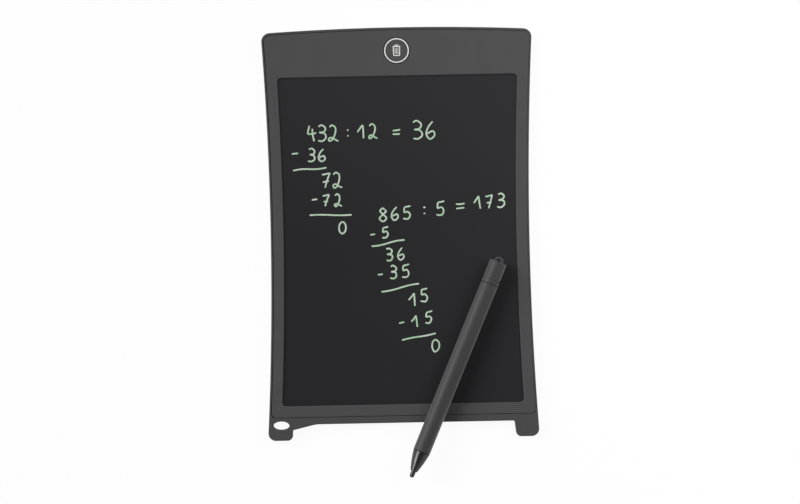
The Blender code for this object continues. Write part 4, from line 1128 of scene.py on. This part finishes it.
def pen_end_cap():
    """Cap with rounded edges, a groove near the barrel whose depth is the root of one less the eighth power
    of the share across it, and the spigot inside it. The cord loop is a round wire bent in a circle that is
    sunk into the cap's end."""
    groove = CAP_LOW + CAP_RING + CAP_GROOVE / 2
    share = np.cos(np.linspace(0, math.pi, GROOVE_STEPS))
    dip = columns(PEN_RADIUS - CAP_GROOVE_DEPTH * np.sqrt(1 - share ** 8), groove + share * CAP_GROOVE / 2)
    spigot_low = CAP_LOW - SPIGOT_LENGTH
    profile = joined(
        [(0.0, PEN_END)], upper_round(PEN_RADIUS, PEN_END, PEN_ROUND), dip,
        lower_round(PEN_RADIUS, CAP_LOW, COLLAR_ROUND),
        [(SPIGOT_RADIUS, CAP_LOW), (SPIGOT_RADIUS, spigot_low), (0.0, spigot_low)])
    shell("pen_cap", [on_pen(turned(profile))], PEN_FINISH, "pen_plastic", "pen", "pen_end_cap")
    turn = full_turn(SMALL_CIRCLE_STEPS)
    around = full_turn(WIRE_STEPS)
    reach = LOOP_RADIUS + LOOP_WIRE * np.cos(around)[None, :]
    rings = np.stack([reach * np.cos(turn)[:, None],
                      np.broadcast_to(LOOP_WIRE * np.sin(around), (len(turn), len(around))),
                      PEN_END + LOOP_RISE + reach * np.sin(turn)[:, None]], -1)
    shell("pen_cord_loop", [on_pen(wall(*rings, rings[0]))], PEN_FINISH, "pen_plastic", "pen")


# Stage

VIEW_AIM = np.array((-0.22, -10.26, 5.3)) * MM
VIEW_WIDTH = 429.1 * MM
VIEW_DISTANCE = 1.2
VIEW_ROLL = math.radians(1.11)
VIEW_SENSOR = 36.0              # millimetres
LEFT_STRENGTH = 2.72
LEFT_BREADTH = math.radians(38)
LEFT_PLACE = Vector((-0.82, 0.5, 0.62))
RIGHT_POWER = 1.2
RIGHT_SIZE = 0.3
RIGHT_PLACE = Vector((0.36, 0.17, 0.3))
BACK_POWER = 7.0                # lights the back alone, from below the floor
BACK_SIZE = 1.2
BACK_PLACE = Vector((-0.45, 0.3, -0.75))
TIP_POWER = 2.5                 # shines on glossy forms alone, for the strip on the cone
TIP_SIZE = 0.3
TIP_PLACE = Vector((-0.547, -0.249, 0.428))
WALL_LIGHT = 0.14
WALL_TOP = 0.45                 # sine of the elevation
CEILING_LIGHT = 0.06
CEILING_EDGE = 0.85
PANEL_LIGHT = 0.42
PANEL_SIDE = (0.42, 0.91, 0.0)  # the bright part of the ceiling lies this way from straight above
PANEL_EDGE = (0.0, 0.055)
FLOOR_SIZE = 8.0
FLOOR_DROP = 0.3 * MM
FLOOR_WHITE = 0.94


def camera():
    """Long lens straight above the screen, turned so that the tablet stands as in the photograph."""
    data = bpy.data.cameras.new("front_view")
    data.sensor_width = VIEW_SENSOR
    data.lens = VIEW_SENSOR * VIEW_DISTANCE / VIEW_WIDTH
    view = placed("front_view", data)
    view.location = VIEW_AIM + (0.0, 0.0, VIEW_DISTANCE)
    view.rotation_euler = (0.0, 0.0, -VIEW_ROLL)
    bpy.context.scene.camera = view


def pale_rays(tree):
    """One for rays from the camera, a mirror or glass, else nothing."""
    seen = wired(tree, "LightPath", "Is Camera Ray")
    for name in ("Is Glossy Ray", "Is Transmission Ray"):
        seen = maths(tree, "MAXIMUM", seen, wired(tree, "LightPath", name))
    return seen


def floor():
    """White floor that keeps the shadow: mostly its own white to the camera, the rest lit. It is clear from
    below, so that the back can be seen, and clear to the shortest rays, so that light reaches the back."""
    half = FLOOR_SIZE / 2
    mesh = bpy.data.meshes.new("pale_floor")
    corners = [(-half, -half), (half, -half), (half, half), (-half, half)]
    mesh.from_pydata([(*place, -FLOOR_DROP) for place in corners], [], [range(len(corners))])
    sheet = placed("pale_floor", mesh)
    material, tree, shader = blank_finish("pale_floor")
    tree.nodes.remove(shader)
    lit = wired(tree, "BsdfDiffuse", "BSDF", {"Color": WHITE})
    white = wired(tree, "Emission", "Emission", {"Color": WHITE})
    share = maths(tree, "MULTIPLY", pale_rays(tree), FLOOR_WHITE)
    seen = wired(tree, "MixShader", "Shader", {"Fac": share, 1: lit, 2: white})
    below = wired(tree, "NewGeometry", "Backfacing")
    close = maths(tree, "LESS_THAN", wired(tree, "LightPath", "Ray Length"), 2 * FLOOR_DROP)
    clear = wired(tree, "BsdfTransparent", "BSDF")
    unseen = maths(tree, "MAXIMUM", below, close)
    both = wired(tree, "MixShader", "Shader", {"Fac": unseen, 1: seen, 2: clear})
    feed(tree, tree.nodes["Material Output"], {"Surface": both})
    mesh.materials.append(material)


def lamp(name, kind, strength, place, mirrored=False):
    """Lamp at a place, turned to the origin. A mirrored one adds shine alone."""
    light = bpy.data.lights.new(name, kind)
    light.energy = strength
    holder = placed(name, light)
    holder.location = place
    holder.rotation_euler = place.to_track_quat("Z", "Y").to_euler()
    holder.visible_camera = False
    holder.visible_diffuse = not mirrored
    return light


def studio():
    """Broad light from the upper left, a weaker one from the upper right, one for the back, one for the shine
    on the pen's cone, and a pale room whose dim ceiling is brighter towards the upper right. The camera sees
    the room as white."""
    lamp("left_light", "SUN", LEFT_STRENGTH, LEFT_PLACE).angle = LEFT_BREADTH
    lamp("upper_right_light", "AREA", RIGHT_POWER, RIGHT_PLACE).size = RIGHT_SIZE
    lamp("back_light", "AREA", BACK_POWER, BACK_PLACE).size = BACK_SIZE
    lamp("tip_light", "AREA", TIP_POWER, TIP_PLACE, mirrored=True).size = TIP_SIZE
    world = bpy.data.worlds.new("pale_room")
    bpy.context.scene.world = world
    world.use_nodes = True
    tree = world.node_tree
    place = wired(tree, "TexCoord", "Generated")
    height = wired(tree, "SeparateXYZ", "Z", {"Vector": place})
    rise = ranged(tree, height, WALL_TOP, CEILING_EDGE)
    walls = ranged(tree, pale_rays(tree), 0.0, 1.0, WALL_LIGHT, 1.0)
    side = wired(tree, "VectorMath", "Value", {0: place, 1: PANEL_SIDE}, operation="DOT_PRODUCT")
    ceiling = ranged(tree, side, *PANEL_EDGE, CEILING_LIGHT, PANEL_LIGHT, interpolation_type="SMOOTHSTEP")
    room = wired(tree, "Mix", "Result", {"Factor": rise, "A": walls, "B": ceiling}, data_type="FLOAT")
    strength = maths(tree, "MAXIMUM", room, wired(tree, "LightPath", "Is Camera Ray"))
    feed(tree, tree.nodes["Background"], {"Color": WHITE, "Strength": strength})
    bpy.context.scene.view_settings.view_transform = "Standard"


camera()
floor()
studio()
inner_pieces()
rear_cover()
front_bezel()
handwriting()
erase_key()
battery_door()
door_screw("battery_door_screw_left", "door_screw_left")
door_screw("battery_door_screw_right", "door_screw_right")
lock_slider()
pen_nib()
pen_tip_cone()
pen_barrel()
pen_joint_shade_collars()
pen_end_cap()
